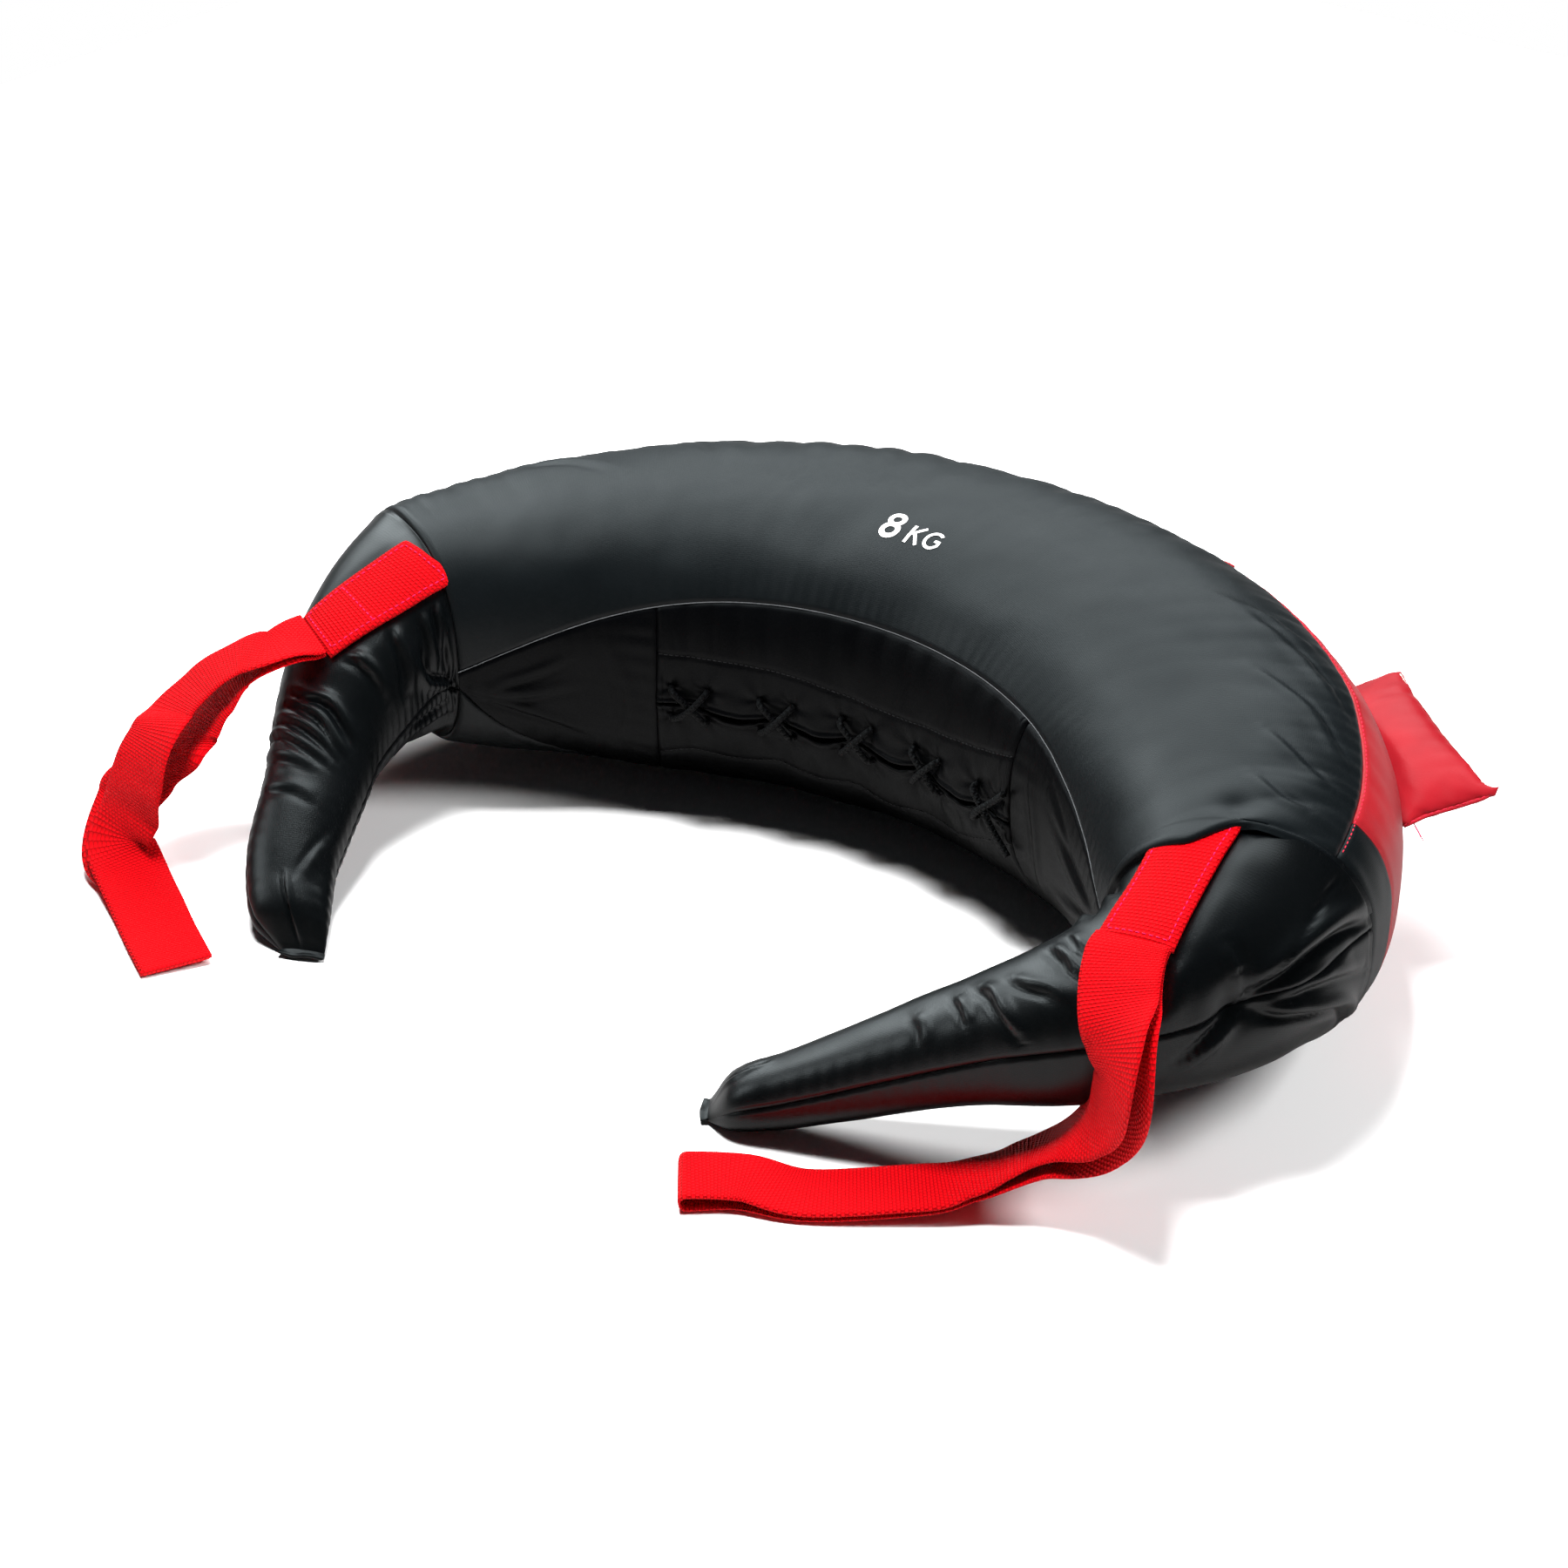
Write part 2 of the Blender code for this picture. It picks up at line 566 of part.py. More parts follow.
class Horn:
    """Route and sections of one horn.  side is 1 for the right horn and -1 for the left."""

    def __init__(self, side):
        self.side = side
        self.name = "right" if side > 0 else "left"
        self.length = HORN_RIGHT_LENGTH if side > 0 else HORN_LEFT_LENGTH
        self.turn = HORN_RIGHT_TURN if side > 0 else HORN_LEFT_TURN
        self.curl = HORN_RIGHT_CURL if side > 0 else HORN_LEFT_CURL
        self.patch_turn = PATCH_RIGHT_TURN if side > 0 else PATCH_LEFT_TURN
        self.patch_theta = PATCH_RIGHT_START if side > 0 else PATCH_LEFT_START
        self.patch_share = PATCH_RIGHT_START_SHARE if side > 0 else PATCH_LEFT_START_SHARE
        self.root_depth = END_HALF_DEPTH - COVER_WALL - HORN_ROOT_CLEARANCE
        self.root_height = END_HALF_HEIGHT - COVER_WALL - HORN_ROOT_CLEARANCE
        reach = ARC_RADIUS
        self.root = Vector((reach * math.sin(ARC_HALF_ANGLE),
                            reach * math.cos(ARC_HALF_ANGLE) - reach, 0))
        self.make_route()

    def heading(self, share):
        """Angle of the horn's rings, which fan out about the inner side of the root."""
        return -ARC_HALF_ANGLE - self.turn * ease(share / HORN_TURN_SHARE) - self.curl * share

    def make_route(self):
        """Walk along the inner side of the horn, slowly at the root and evenly after it."""
        fine = 120
        shares = spaced(0.0, 1.0, fine)
        pace = [HORN_START_PACE_SHARE + (1 - HORN_START_PACE_SHARE) * ease(share / 0.3)
                for share in shares]
        mean = sum(pace) / len(pace)
        side = self.outward(0.0) * self.root_depth
        place = self.root - side
        self.inner_route = [place]
        for k in range(fine):
            share = (shares[k] + shares[k + 1]) / 2
            lead = HORN_LEAD * (1 - ease(share / 0.16))
            heading = self.heading(share) + lead
            step = self.length / fine * (pace[k] + pace[k + 1]) / 2 / mean
            place = place + Vector((math.cos(heading), math.sin(heading), 0)) * step
            self.inner_route.append(place)

    def outward(self, share):
        """Direction from the horn's inner side to its outer side, on the right-hand horn."""
        heading = self.heading(share)
        return Vector((-math.sin(heading), math.cos(heading), 0))

    def section(self, share):
        """Half depth, half height and lowest point at a share of the horn's length."""
        deep = self.root_depth * through(horn_station_shares, horn_depth_shares, share)
        high = self.root_height * through(horn_station_shares, horn_height_shares, share)
        root_low = END_LIFT + COVER_WALL + HORN_ROOT_CLEARANCE
        low = root_low * through(horn_station_shares, horn_lift_shares, share)
        return deep, max(high, HORN_TIP_HALF_THICKNESS), max(low, 0.0)

    def point(self, share, theta, inset=0.0):
        """Point on the horn's skin, or that far inside it."""
        fine = len(self.inner_route) - 1
        place = min(max(share, 0.0), 1.0) * fine
        index = min(int(place), fine - 1)
        inner = self.inner_route[index].lerp(self.inner_route[index + 1], place - index)
        deep, high, low = self.section(max(share, 0.0))
        outward = self.outward(max(share, 0.0))
        out, up = section_offset(deep - inset, high - inset, theta)
        spot = inner + outward * (deep + out)
        spot.z = max(low + high + up, inset)
        return Vector((spot.x * self.side, spot.y, spot.z))

    def tucked_point(self, theta, inset=0.0):
        """Point on the ring that is tucked into the end of the crescent."""
        spot = self.point(0.0, theta, inset + HORN_ROOT_TAPER)
        heading = self.heading(0.0)
        back = Vector((math.cos(heading) * self.side, math.sin(heading), 0)) * HORN_ROOT_TUCK
        return spot - back

    def axis_place(self):
        """Foot of the vertical hinge line through the middle of the root."""
        return Vector((self.root.x * self.side, self.root.y, END_LIFT + END_HALF_HEIGHT))


def make_horn(horn):
    """Upper and under cover panels of a horn and the padding in it."""
    pivot = hinge("horn_" + horn.name + "_hinge", horn.axis_place())
    gap = SEAM_GAP * 0.65
    for part, first in (("upper", HORN_SEAM), ("under", HORN_SEAM + math.pi)):
        outer, inner = [], []
        base = spaced(first, first + math.pi, HORN_HALF_RING_STEPS)
        shares = (None,) + horn_ring_shares
        for share in shares:
            high = horn.section(share or 0.0)[1]
            deep = horn.section(share or 0.0)[0]
            angles = list(base)
            angles[0] += seam_angle(gap, deep, high, angles[0])
            angles[-1] -= seam_angle(gap, deep, high, angles[-1])
            if share is None:
                outer.append([horn.tucked_point(theta) for theta in angles])
                inner.append([horn.tucked_point(theta, COVER_WALL) for theta in angles])
            else:
                outer.append([horn.point(share, theta) for theta in angles])
                inner.append([horn.point(share, theta, COVER_WALL) for theta in angles])
        plate("horn_" + part + "_" + horn.name, outer, inner, "black vinyl", pivot)
        if part == "upper":
            cover = outer
    angles = [HORN_SEAM + math.pi * k / HORN_HALF_RING_STEPS for k in range(2 * HORN_HALF_RING_STEPS)]
    inset = COVER_WALL + LAYER_GAP
    rings = [[horn.tucked_point(theta, inset) for theta in angles]]
    rings += [[horn.point(share, theta, inset) for theta in angles] for share in horn_ring_shares]
    short = HORN_CORE_END_GAP / (horn.length * (1.0 - horn_ring_shares[-2]))
    rings[-1] = [point.lerp(other, short) for point, other in zip(rings[-1], rings[-2])]
    capped_tube("horn_core_" + horn.name, rings, "wool wadding", pivot)
    return pivot, cover


def seam_angle(gap, deep, high, theta):
    """Section angle that a seam gap takes where the section meets the seam."""
    step = 0.01
    here = section_offset(deep, high, theta)
    there = section_offset(deep, high, theta + step)
    speed = math.hypot(there[0] - here[0], there[1] - here[1]) / step
    return gap / speed


def surface_of(grid):
    """Search tree over a grid of points."""
    rows, columns = len(grid), len(grid[0])
    points = [point for row in grid for point in row]
    return BVHTree.FromPolygons(points, grid_faces(rows, columns, 0))


def stepped(tree, start, direction, step):
    """Walk one step along a surface, and the surface's direction out there."""
    place, normal, _, _ = tree.find_nearest(start)
    along = (direction - normal * direction.dot(normal)).normalized()
    place, normal, _, _ = tree.find_nearest(place + along * step)
    return place, normal, along


def patch_grid(tree, start, direction):
    """Grid of points on a surface: along the webbing, and across it from side to side."""
    rows = round(PATCH_LENGTH / PATCH_STEP)
    columns = round(WEBBING_WIDTH / PATCH_STEP / 2) * 2
    along_step, across_step = PATCH_LENGTH / rows, WEBBING_WIDTH / columns
    grid = []
    place, normal, along = stepped(tree, start, direction, 0.0)
    for i in range(rows + 1):
        across = normal.cross(along).normalized()
        row = [place]
        for sign in (1, -1):
            spot = place
            for j in range(columns // 2):
                spot, _, _ = stepped(tree, spot, across * sign, across_step)
                row = row + [spot] if sign > 0 else [spot] + row
        grid.append(row)
        place, normal, along = stepped(tree, place, along, along_step)
    trimmed = []
    for i in range(rows + 1):
        line = []
        for j in range(columns + 1):
            cut = patch_cut_share * (1 - j / columns)
            line.append(on_grid(grid, j / columns, cut + (1 - cut) * i / rows))
        trimmed.append(line)
    return trimmed


def smooth_normals(grid):
    """Directions out of a grid of points, taken from its neighbouring points."""
    rows, columns = len(grid), len(grid[0])
    result = []
    for i in range(rows):
        line = []
        for j in range(columns):
            along = grid[min(i + 1, rows - 1)][j] - grid[max(i - 1, 0)][j]
            across = grid[i][min(j + 1, columns - 1)] - grid[i][max(j - 1, 0)]
            line.append(along.cross(across).normalized())
        result.append(line)
    return result


def make_patch(horn, cover, pivot):
    """Doubled webbing sewn flat on a horn, with its row of stitching."""
    tree = surface_of(cover)
    start = horn.point(horn.patch_share, horn.patch_theta)
    heading = horn.heading(0.0) + horn.patch_turn
    direction = Vector((math.cos(heading) * horn.side, math.sin(heading), -math.tan(PATCH_FALL)))
    grid = patch_grid(tree, start, direction)
    outward = smooth_normals(grid)
    if outward[0][0].z < 0:
        outward = [[-normal for normal in line] for line in outward]
    low, high = PATCH_OFFSET, PATCH_OFFSET + 2 * WEBBING_PLY
    inner = [[point + normal * low for point, normal in zip(*lines)] for lines in zip(grid, outward)]
    outer = [[point + normal * high for point, normal in zip(*lines)] for lines in zip(grid, outward)]
    plate("strap_patch_" + horn.name, outer, inner, "red webbing", pivot)
    make_stitching(horn, outer, outward, pivot)
    return inner, outer, outward


def on_grid(grid, across, along):
    """Point of a grid at shares across and along it."""
    rows, columns = len(grid) - 1, len(grid[0]) - 1
    i, j = min(int(along * rows), rows - 1), min(int(across * columns), columns - 1)
    u, v = along * rows - i, across * columns - j
    near = grid[i][j].lerp(grid[i][j + 1], v)
    far = grid[i + 1][j].lerp(grid[i + 1][j + 1], v)
    return near.lerp(far, u)


def make_stitching(horn, outer, outward, pivot):
    """Line of thread sewn round the edge of a patch."""
    side, end = THREAD_INSET / WEBBING_WIDTH, THREAD_INSET / PATCH_LENGTH
    corners = [(side, end), (1 - side, end), (1 - side, 1 - end), (side, 1 - end)]
    steps = (6, 9, 6, 9)
    route = []
    for k, count in enumerate(steps):
        (u, v), (u2, v2) = corners[k], corners[(k + 1) % 4]
        route += [(u + (u2 - u) * m / count, v + (v2 - v) * m / count) for m in range(count)]
    lift = THREAD_THICKNESS / 2 + LAYER_GAP + THREAD_STANDOFF
    centre = [on_grid(outer, *place) + on_grid(outward, *place).normalized() * lift for place in route]
    points, faces = [], []
    total = len(centre)
    half = THREAD_THICKNESS / 2
    for k, place in enumerate(centre):
        along = (centre[(k + 1) % total] - centre[k - 1]).normalized()
        up = on_grid(outward, *route[k]).normalized()
        side_way = along.cross(up).normalized()
        for out, rise in ((1, 1), (-1, 1), (-1, -1), (1, -1)):
            points.append(place + side_way * (half * out) + up * (half * rise))
    for k in range(total):
        for j in range(4):
            a, b = k * 4 + j, k * 4 + (j + 1) % 4
            c, d = ((k + 1) % total) * 4 + (j + 1) % 4, ((k + 1) % total) * 4 + j
            faces += [(a, b, c), (a, c, d)]
    solid("strap_stitching_" + horn.name, points, faces, "magenta thread", pivot)


def make_loop(horn, start, rise, across_start, shares, opening, pivot):
    """A doubled webbing loop from its stitch line to the fold at its far end."""
    centres = [start + Vector(row[0]) * STRAP_REACH for row in shares]
    directions = [across_start] + [Vector(row[1]) for row in shares[1:]]
    fine = []
    steps = 2
    total = len(centres)
    for k in range(total - 1):
        for m in range(steps):
            fine.append((k, m / steps))
    fine.append((total - 2, 1.0))
    stations = []
    for k, t in fine:
        before, after = max(k - 1, 0), min(k + 2, total - 1)
        place = spline(centres[before], centres[k], centres[k + 1], centres[after], t)
        across = directions[k].lerp(directions[k + 1], t)
        gap = PLY_GAP + opening * (shares[k][2] + (shares[k + 1][2] - shares[k][2]) * t)
        aside = WEBBING_WIDTH * (shares[k][3] + (shares[k + 1][3] - shares[k][3]) * t)
        stations.append([place, across, gap, aside])
    count = len(stations)
    frames = []
    for k, (place, across, gap, aside) in enumerate(stations):
        along = (stations[min(k + 1, count - 1)][0] - stations[max(k - 1, 0)][0]).normalized()
        if k:
            across = (across - along * across.dot(along)).normalized()
        normal = across.cross(along).normalized()
        frames.append((place, across, normal, gap, aside))
    if frames[0][2].dot(rise) < 0:
        frames = [(row[0], row[1], -row[2], row[3], row[4]) for row in frames]
    first = frames[0]
    level = (rise - first[1] * rise.dot(first[1])).normalized()
    frames[0] = (first[0], first[1], level, first[3], first[4])
    for place, across, normal, gap, _ in frames:
        reach = abs(across.z) * WEBBING_WIDTH / 2 + abs(normal.z) * (gap / 2 + WEBBING_PLY)
        place.z = max(place.z, FLOOR_GAP + reach)
    points, rails = [], {}
    half_width = WEBBING_WIDTH / 2
    for side in (-1, 1):
        for level in (2, 1, -1, -2):
            rails[side, level] = []
            for place, across, normal, gap, aside in frames:
                height = gap / 2 + (WEBBING_PLY if abs(level) == 2 else 0)
                sign = 1 if level > 0 else -1
                spot = place + across * (side * half_width) + normal * (sign * height)
                if level < 0:
                    spot = spot + across * aside
                rails[side, level].append(len(points))
                points.append(spot)
    faces = loop_faces(rails, count)
    used = sorted({index for face in faces for index in face})
    order = {index: k for k, index in enumerate(used)}
    points = [points[index] for index in used]
    faces = [tuple(order[index] for index in face) for face in faces]
    return solid("strap_loop_" + horn.name, points, faces, "red webbing", pivot)


def spline(before, start, end, after, t):
    """Point on a smooth curve from start to end, guided by the points on either side."""
    first, last = (end - before) / 2, (after - start) / 2
    return (start * (2 * t ** 3 - 3 * t ** 2 + 1) + end * (3 * t ** 2 - 2 * t ** 3)
            + first * (t ** 3 - 2 * t ** 2 + t) + last * (t ** 3 - t ** 2))


def loop_faces(rails, count):
    """Faces of a flattened ring: outside, inside and the two cut edges of the webbing."""
    faces = []

    def band(first, second, start, stop):
        for k in range(start, stop):
            faces.append((first[k], first[k + 1], second[k + 1]))
            faces.append((first[k], second[k + 1], second[k]))

    last = count - 1
    left, right = -1, 1
    band(rails[left, 2], rails[right, 2], 0, last)
    band(rails[left, -2], rails[right, -2], 0, last)
    band(rails[left, 1], rails[right, 1], 1, last - 1)
    band(rails[left, -1], rails[right, -1], 1, last - 1)
    for end, hole in ((0, 1), (last, last - 1)):
        faces.append((rails[left, 2][end], rails[right, 2][end], rails[right, -2][end]))
        faces.append((rails[left, 2][end], rails[right, -2][end], rails[left, -2][end]))
        faces.append((rails[left, 1][hole], rails[right, 1][hole], rails[right, -1][hole]))
        faces.append((rails[left, 1][hole], rails[right, -1][hole], rails[left, -1][hole]))
    for side in (left, right):
        band(rails[side, 2], rails[side, 1], 1, last - 1)
        band(rails[side, -2], rails[side, -1], 1, last - 1)
        for end, hole in ((0, 1), (last, last - 1)):
            top, low = rails[side, 2], rails[side, -2]
            high, deep = rails[side, 1][hole], rails[side, -1][hole]
            faces.append((top[end], top[hole], high))
            faces.append((top[end], high, deep))
            faces.append((top[end], deep, low[end]))
            faces.append((low[end], deep, low[hole]))
    return faces


def fin_half_thickness(share, crown):
    """Half the thickness of a fin at a share from its neck to its outer edge."""
    swell = math.sin(math.pi * share) ** 0.6 * crown
    edge = FIN_NECK_HALF_THICKNESS * (1 - share) + FIN_END_HALF_THICKNESS * share
    return edge + (FIN_HALF_THICKNESS - edge) * swell


def pouch(name, outer, inner, finish, parent):
    """A closed cover that is open only along its neck, between outer and inner grids."""
    rows, columns = len(outer), len(outer[0])
    points = [point for row in outer for point in row] + [point for row in inner for point in row]
    count = rows * columns
    faces = grid_faces(rows, columns, 0) + grid_faces(rows, columns, count)
    for first in (0, (rows - 1) * columns, count, count + (rows - 1) * columns):
        for j in range(columns // 2 - 1):
            a, b = first + j, first + j + 1
            c, d = first + columns - 2 - j, first + columns - 1 - j
            faces += [(a, b, c), (a, c, d)]
    lips = [i * columns for i in range(rows)]
    lips += [i * columns + columns - 1 for i in range(rows - 1, -1, -1)]
    for k, here in enumerate(lips):
        there = lips[(k + 1) % len(lips)]
        faces += [(here, there, there + count), (here, there + count, here + count)]
    return solid(name, points, faces, finish, parent)


def make_fin(name, phi):
    """A padded fin on the red back, swinging about its sewn edge."""
    radius = ARC_RADIUS + crescent_section(phi)[0]
    span = FIN_LENGTH / 2 / radius
    ends = [crescent_point(phi - span, 0.0), crescent_point(phi + span, 0.0)]
    along = (ends[1] - ends[0]).normalized()
    outward = Vector((-along.y, along.x, 0)).normalized()
    edge = crescent_point(phi, 0.0) + outward * FIN_NECK_GAP
    pivot = hinge("fin_" + name + "_hinge", edge)
    depth_way = outward * math.cos(FIN_TILT) + Vector((0, 0, 1)) * math.sin(FIN_TILT)
    up = along.cross(depth_way).normalized()
    if up.z < 0:
        up = -up

    def section(u, shares, inset, trim=0.0):
        """Points round the fin's section at a share along it, from its upper to its lower lip."""
        crown = 1 - abs(u) ** 2.5
        place = crescent_point(phi + span * u, 0.0) + outward * FIN_NECK_GAP - edge
        base = place.dot(outward) / math.cos(FIN_TILT)
        shift = max(-1.0, min(1.0, u)) * -trim
        outer_edge = FIN_DEPTH - FIN_EDGE_DRAW * (1 - u * u)
        row = []
        for sign, order in ((1, shares), (-1, shares[::-1])):
            for share in order:
                half = fin_half_thickness(share, crown) - inset
                reach = base + (outer_edge - base) * share
                if share > 0.5:
                    reach -= inset * (share - 0.5) * 2
                row.append(edge + along * (place.dot(along) + shift) + depth_way * reach
                           + up * (sign * half))
        return row

    stations = spaced(-1.0, 1.0, FIN_LENGTH_STEPS)
    outer = [section(u, fin_ring_shares, 0.0) for u in stations]
    inner = [section(u, fin_ring_shares, FIN_WALL, FIN_WALL) for u in stations]
    pouch("fin_cover_" + name, outer, inner, "red vinyl", pivot)
    room = FIN_WALL + LAYER_GAP
    core = [section(u, fin_ring_shares[1:], room, room) for u in stations]
    capped_tube("fin_foam_" + name, core, "foam", pivot)


def skin_place(phi, theta, lift):
    """Point above the crescent's skin, or under it with a lift below zero."""
    return crescent_point(phi, theta, -lift)


def lace_crossings():
    """Arc angles of the lace's crossings."""
    margin = LACE_CROSS_HALF_WIDTH + LACE_END_MARGIN
    edge = margin / (ARC_RADIUS - BELLY_HALF_DEPTH)
    return spaced(LACING_LEFT + edge, LACING_RIGHT - edge, LACE_CROSSINGS - 1)


def lace_hole(number, across, up):
    """Arc angle and section angle of a lace hole; across and up are 1 or -1."""
    phi = lace_crossings()[number]
    phi += across * LACE_CROSS_HALF_WIDTH / (ARC_RADIUS - BELLY_HALF_DEPTH)
    return phi, lace_line(phi) - up * LACE_CROSS_HALF_HEIGHT / BELLY_HALF_HEIGHT


def cut_lace_holes():
    """Punch the lace holes through the plackets."""
    last = LACE_CROSSINGS - 1
    for up, name in ((1, "placket_upper"), (-1, "placket_lower")):
        points, faces = [], []
        for number in range(LACE_CROSSINGS):
            for across in (-1, 1):
                if number == last and across == 1:
                    continue
                phi, theta = lace_hole(number, across, up)
                low = skin_place(phi, theta, -LACE_DIAMETER)
                high = skin_place(phi, theta, LACE_DIAMETER)
                axis = (high - low).normalized()
                side = axis.cross(Vector((0, 0, 1))).normalized()
                rise = axis.cross(side)
                first = len(points)
                for end in (low, high):
                    for k in range(LACE_HOLE_SIDES):
                        turn = 2 * math.pi * k / LACE_HOLE_SIDES
                        points.append(end + (side * math.cos(turn) + rise * math.sin(turn))
                                      * (LACE_HOLE_DIAMETER / 2))
                ring = list(range(first, first + LACE_HOLE_SIDES))
                faces.append(tuple(ring))
                faces.append(tuple(index + LACE_HOLE_SIDES for index in ring))
                for k, here in enumerate(ring):
                    there = ring[(k + 1) % LACE_HOLE_SIDES]
                    faces.append((here, there, there + LACE_HOLE_SIDES, here + LACE_HOLE_SIDES))
        cutter = solid(name + "_holes", points, faces, "black lining")
        cutter.hide_render = True
        cutter.display_type = "WIRE"
        cut = bpy.data.objects[name].modifiers.new("holes", "BOOLEAN")
        cut.operation = "DIFFERENCE"
        cut.solver = "EXACT"
        cut.object = cutter


def lace_crossing(number, up, over):
    """The lace over one crossing, from its left hole up or down to its right hole."""
    start, stop = lace_hole(number, -1, up), lace_hole(number, 1, -up)
    low, high = -lace_back_depth(), LACE_DIAMETER / 2 + LACE_STANDOFF
    route = []
    for share, lift in lace_over_shares if over else lace_under_shares:
        phi = start[0] + (stop[0] - start[0]) * share
        theta = start[1] + (stop[1] - start[1]) * share
        if lift <= 1:
            height = low + (high - low) * lift
        else:
            height = high + (LACE_DIAMETER + LAYER_GAP) * (lift - 1)
        route.append((phi, theta, height))
    return route


def lace_back_depth():
    """Depth of the lace's centre where it runs behind a placket."""
    return COVER_WALL + LAYER_GAP + LACE_ROOM / 2 + LACE_DIAMETER / 2


def make_lace():
    """One lace: it crosses itself over the lacing gap and runs behind the plackets between."""
    last = LACE_CROSSINGS - 1
    strands = []
    for lead in (1, -1):
        route = []
        for number in range(LACE_CROSSINGS):
            up = lead if number % 2 == 0 else -lead
            crossing = lace_crossing(number, up, up < 0)
            if number == last:
                start, stop = lace_hole(number, -1, up), lace_hole(number, 1, -up)
                reach = math.hypot(LACE_CROSS_HALF_WIDTH, LACE_CROSS_HALF_HEIGHT) * 2
                level = LACE_DIAMETER / 2 + LACE_STANDOFF
                over = [place for place in crossing[4:] if place[2] >= level - LAYER_GAP]
                crossing = crossing[:4] + over
                for share in (1.0, 1.0 + LACE_TAIL / reach):
                    phi = start[0] + (stop[0] - start[0]) * share
                    theta = start[1] + (stop[1] - start[1]) * share
                    crossing.append((phi, theta, level))
            route += crossing
        strands.append(route)
    route = strands[0][::-1] + strands[1]
    tube("lace", [skin_place(*place) for place in route], LACE_DIAMETER / 2, "black cord")


def tube(name, points, radius, finish):
    """A round cord through points, as a curve with filled caps."""
    data = bpy.data.curves.new(name, "CURVE")
    data.dimensions = "3D"
    data.bevel_depth = radius
    data.bevel_resolution = 1
    data.use_fill_caps = True
    line = data.splines.new("POLY")
    line.points.add(len(points) - 1)
    for spot, point in zip(line.points, points):
        spot.co = (*point, 1.0)
    data.materials.append(material(finish))
    item = bpy.data.objects.new(name, data)
    bpy.context.collection.objects.link(item)
    return item


def main():
    clear_scene()
    make_cover()
    make_tongue()
    make_filling()
    cut_lace_holes()
    make_lace()
    for side, shares, opening in ((1, right_loop_shares, STRAP_RIGHT_OPENING),
                                  (-1, left_loop_shares, STRAP_LEFT_OPENING)):
        horn = Horn(side)
        pivot, cover = make_horn(horn)
        inner, outer, outward = make_patch(horn, cover, pivot)
        end_low, end_high = inner[-1], outer[-1]
        middle = len(end_low) // 2
        along = (outer[-1][middle] - outer[-2][middle]).normalized()
        rise = outward[-1][middle]
        reach = max((point - end_high[middle]).dot(along) for point in end_low + end_high)
        start = (end_low[middle] + end_high[middle]) / 2 + along * (reach + STRAP_START_GAP)
        start += rise * STRAP_START_RISE
        place = end_high[middle] + along * (reach + STRAP_START_GAP)
        strap_pivot = hinge("strap_" + horn.name + "_hinge", place, pivot)
        across = (end_high[-1] - end_high[0]).normalized()
        if across.x < 0:
            across = -across
        make_loop(horn, start, rise, across, shares, opening, strap_pivot)
    for name, place in (("left", -FIN_ARC_ANGLE), ("middle", 0.0), ("right", FIN_ARC_ANGLE)):
        make_fin(name, place)


main()
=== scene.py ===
"""Looks of the bulgarian bag: its sewn cover, folds, webbing, lace, fins and light.

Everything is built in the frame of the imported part, from the same sizes.  A place on
the crescent is an arc angle (0 at the middle, positive to the right) and a section angle
(0 on the convex back, 90 on top, 180 on the inner side).
"""

import math

import bpy
import bmesh
import numpy as np
from mathutils import Matrix, Vector
from mathutils.bvhtree import BVHTree


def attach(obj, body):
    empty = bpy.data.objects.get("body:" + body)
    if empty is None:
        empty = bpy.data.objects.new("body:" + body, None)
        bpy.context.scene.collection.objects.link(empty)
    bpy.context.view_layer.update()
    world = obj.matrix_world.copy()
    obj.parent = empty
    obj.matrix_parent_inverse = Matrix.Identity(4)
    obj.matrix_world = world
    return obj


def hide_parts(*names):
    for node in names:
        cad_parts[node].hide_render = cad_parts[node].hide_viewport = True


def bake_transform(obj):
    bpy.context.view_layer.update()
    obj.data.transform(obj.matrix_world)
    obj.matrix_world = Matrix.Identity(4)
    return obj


MM = 0.001
TAU = 2 * math.pi

# Sizes shared with the part
ARC_RADIUS = 311 * MM
ARC_HALF_ANGLE = math.radians(64.5)
BELLY_HALF_DEPTH = 109 * MM
BELLY_HALF_HEIGHT = 95 * MM
END_HALF_DEPTH = 68 * MM
END_HALF_HEIGHT = 66 * MM
END_LIFT = 29 * MM
REST_FLAT_DEPTH = 2 * MM
SECTION_POWER = 2.4
COVER_WALL = 1.4 * MM
HORN_CLEARANCE = 1.8 * MM
HORN_TUCK = 5 * MM
HORN_TIP_HALF = 2.2 * MM
WEBBING_WIDTH = 40 * MM
WEBBING_PLY = 1.6 * MM
PATCH_LENGTH = 68 * MM
PATCH_OFFSET = 0.5 * MM
PATCH_FALL = math.radians(19.3)
STRAP_REACH = 200 * MM
PLY_GAP = 0.6 * MM
FLOOR_GAP = 0.2 * MM
FIN_DEPTH = 50 * MM
FIN_HALF = 13 * MM
FIN_END_HALF = 1.9 * MM
FIN_NECK_HALF = 2 * MM
FIN_NECK_GAP = 1.2 * MM
FIN_EDGE_DRAW = 3 * MM
FIN_ARC = math.radians(35.5)
FIN_TILT = math.radians(16)
LACE_RADIUS = 2 * MM
LACE_CROSS = 10 * MM
LACE_CROSSINGS = 5
LACING = (math.radians(-37), math.radians(31))
HORN_SEAM = math.radians(12)
FILLING_DEPTH = 7 * MM
INNER_RADIUS = ARC_RADIUS - BELLY_HALF_DEPTH

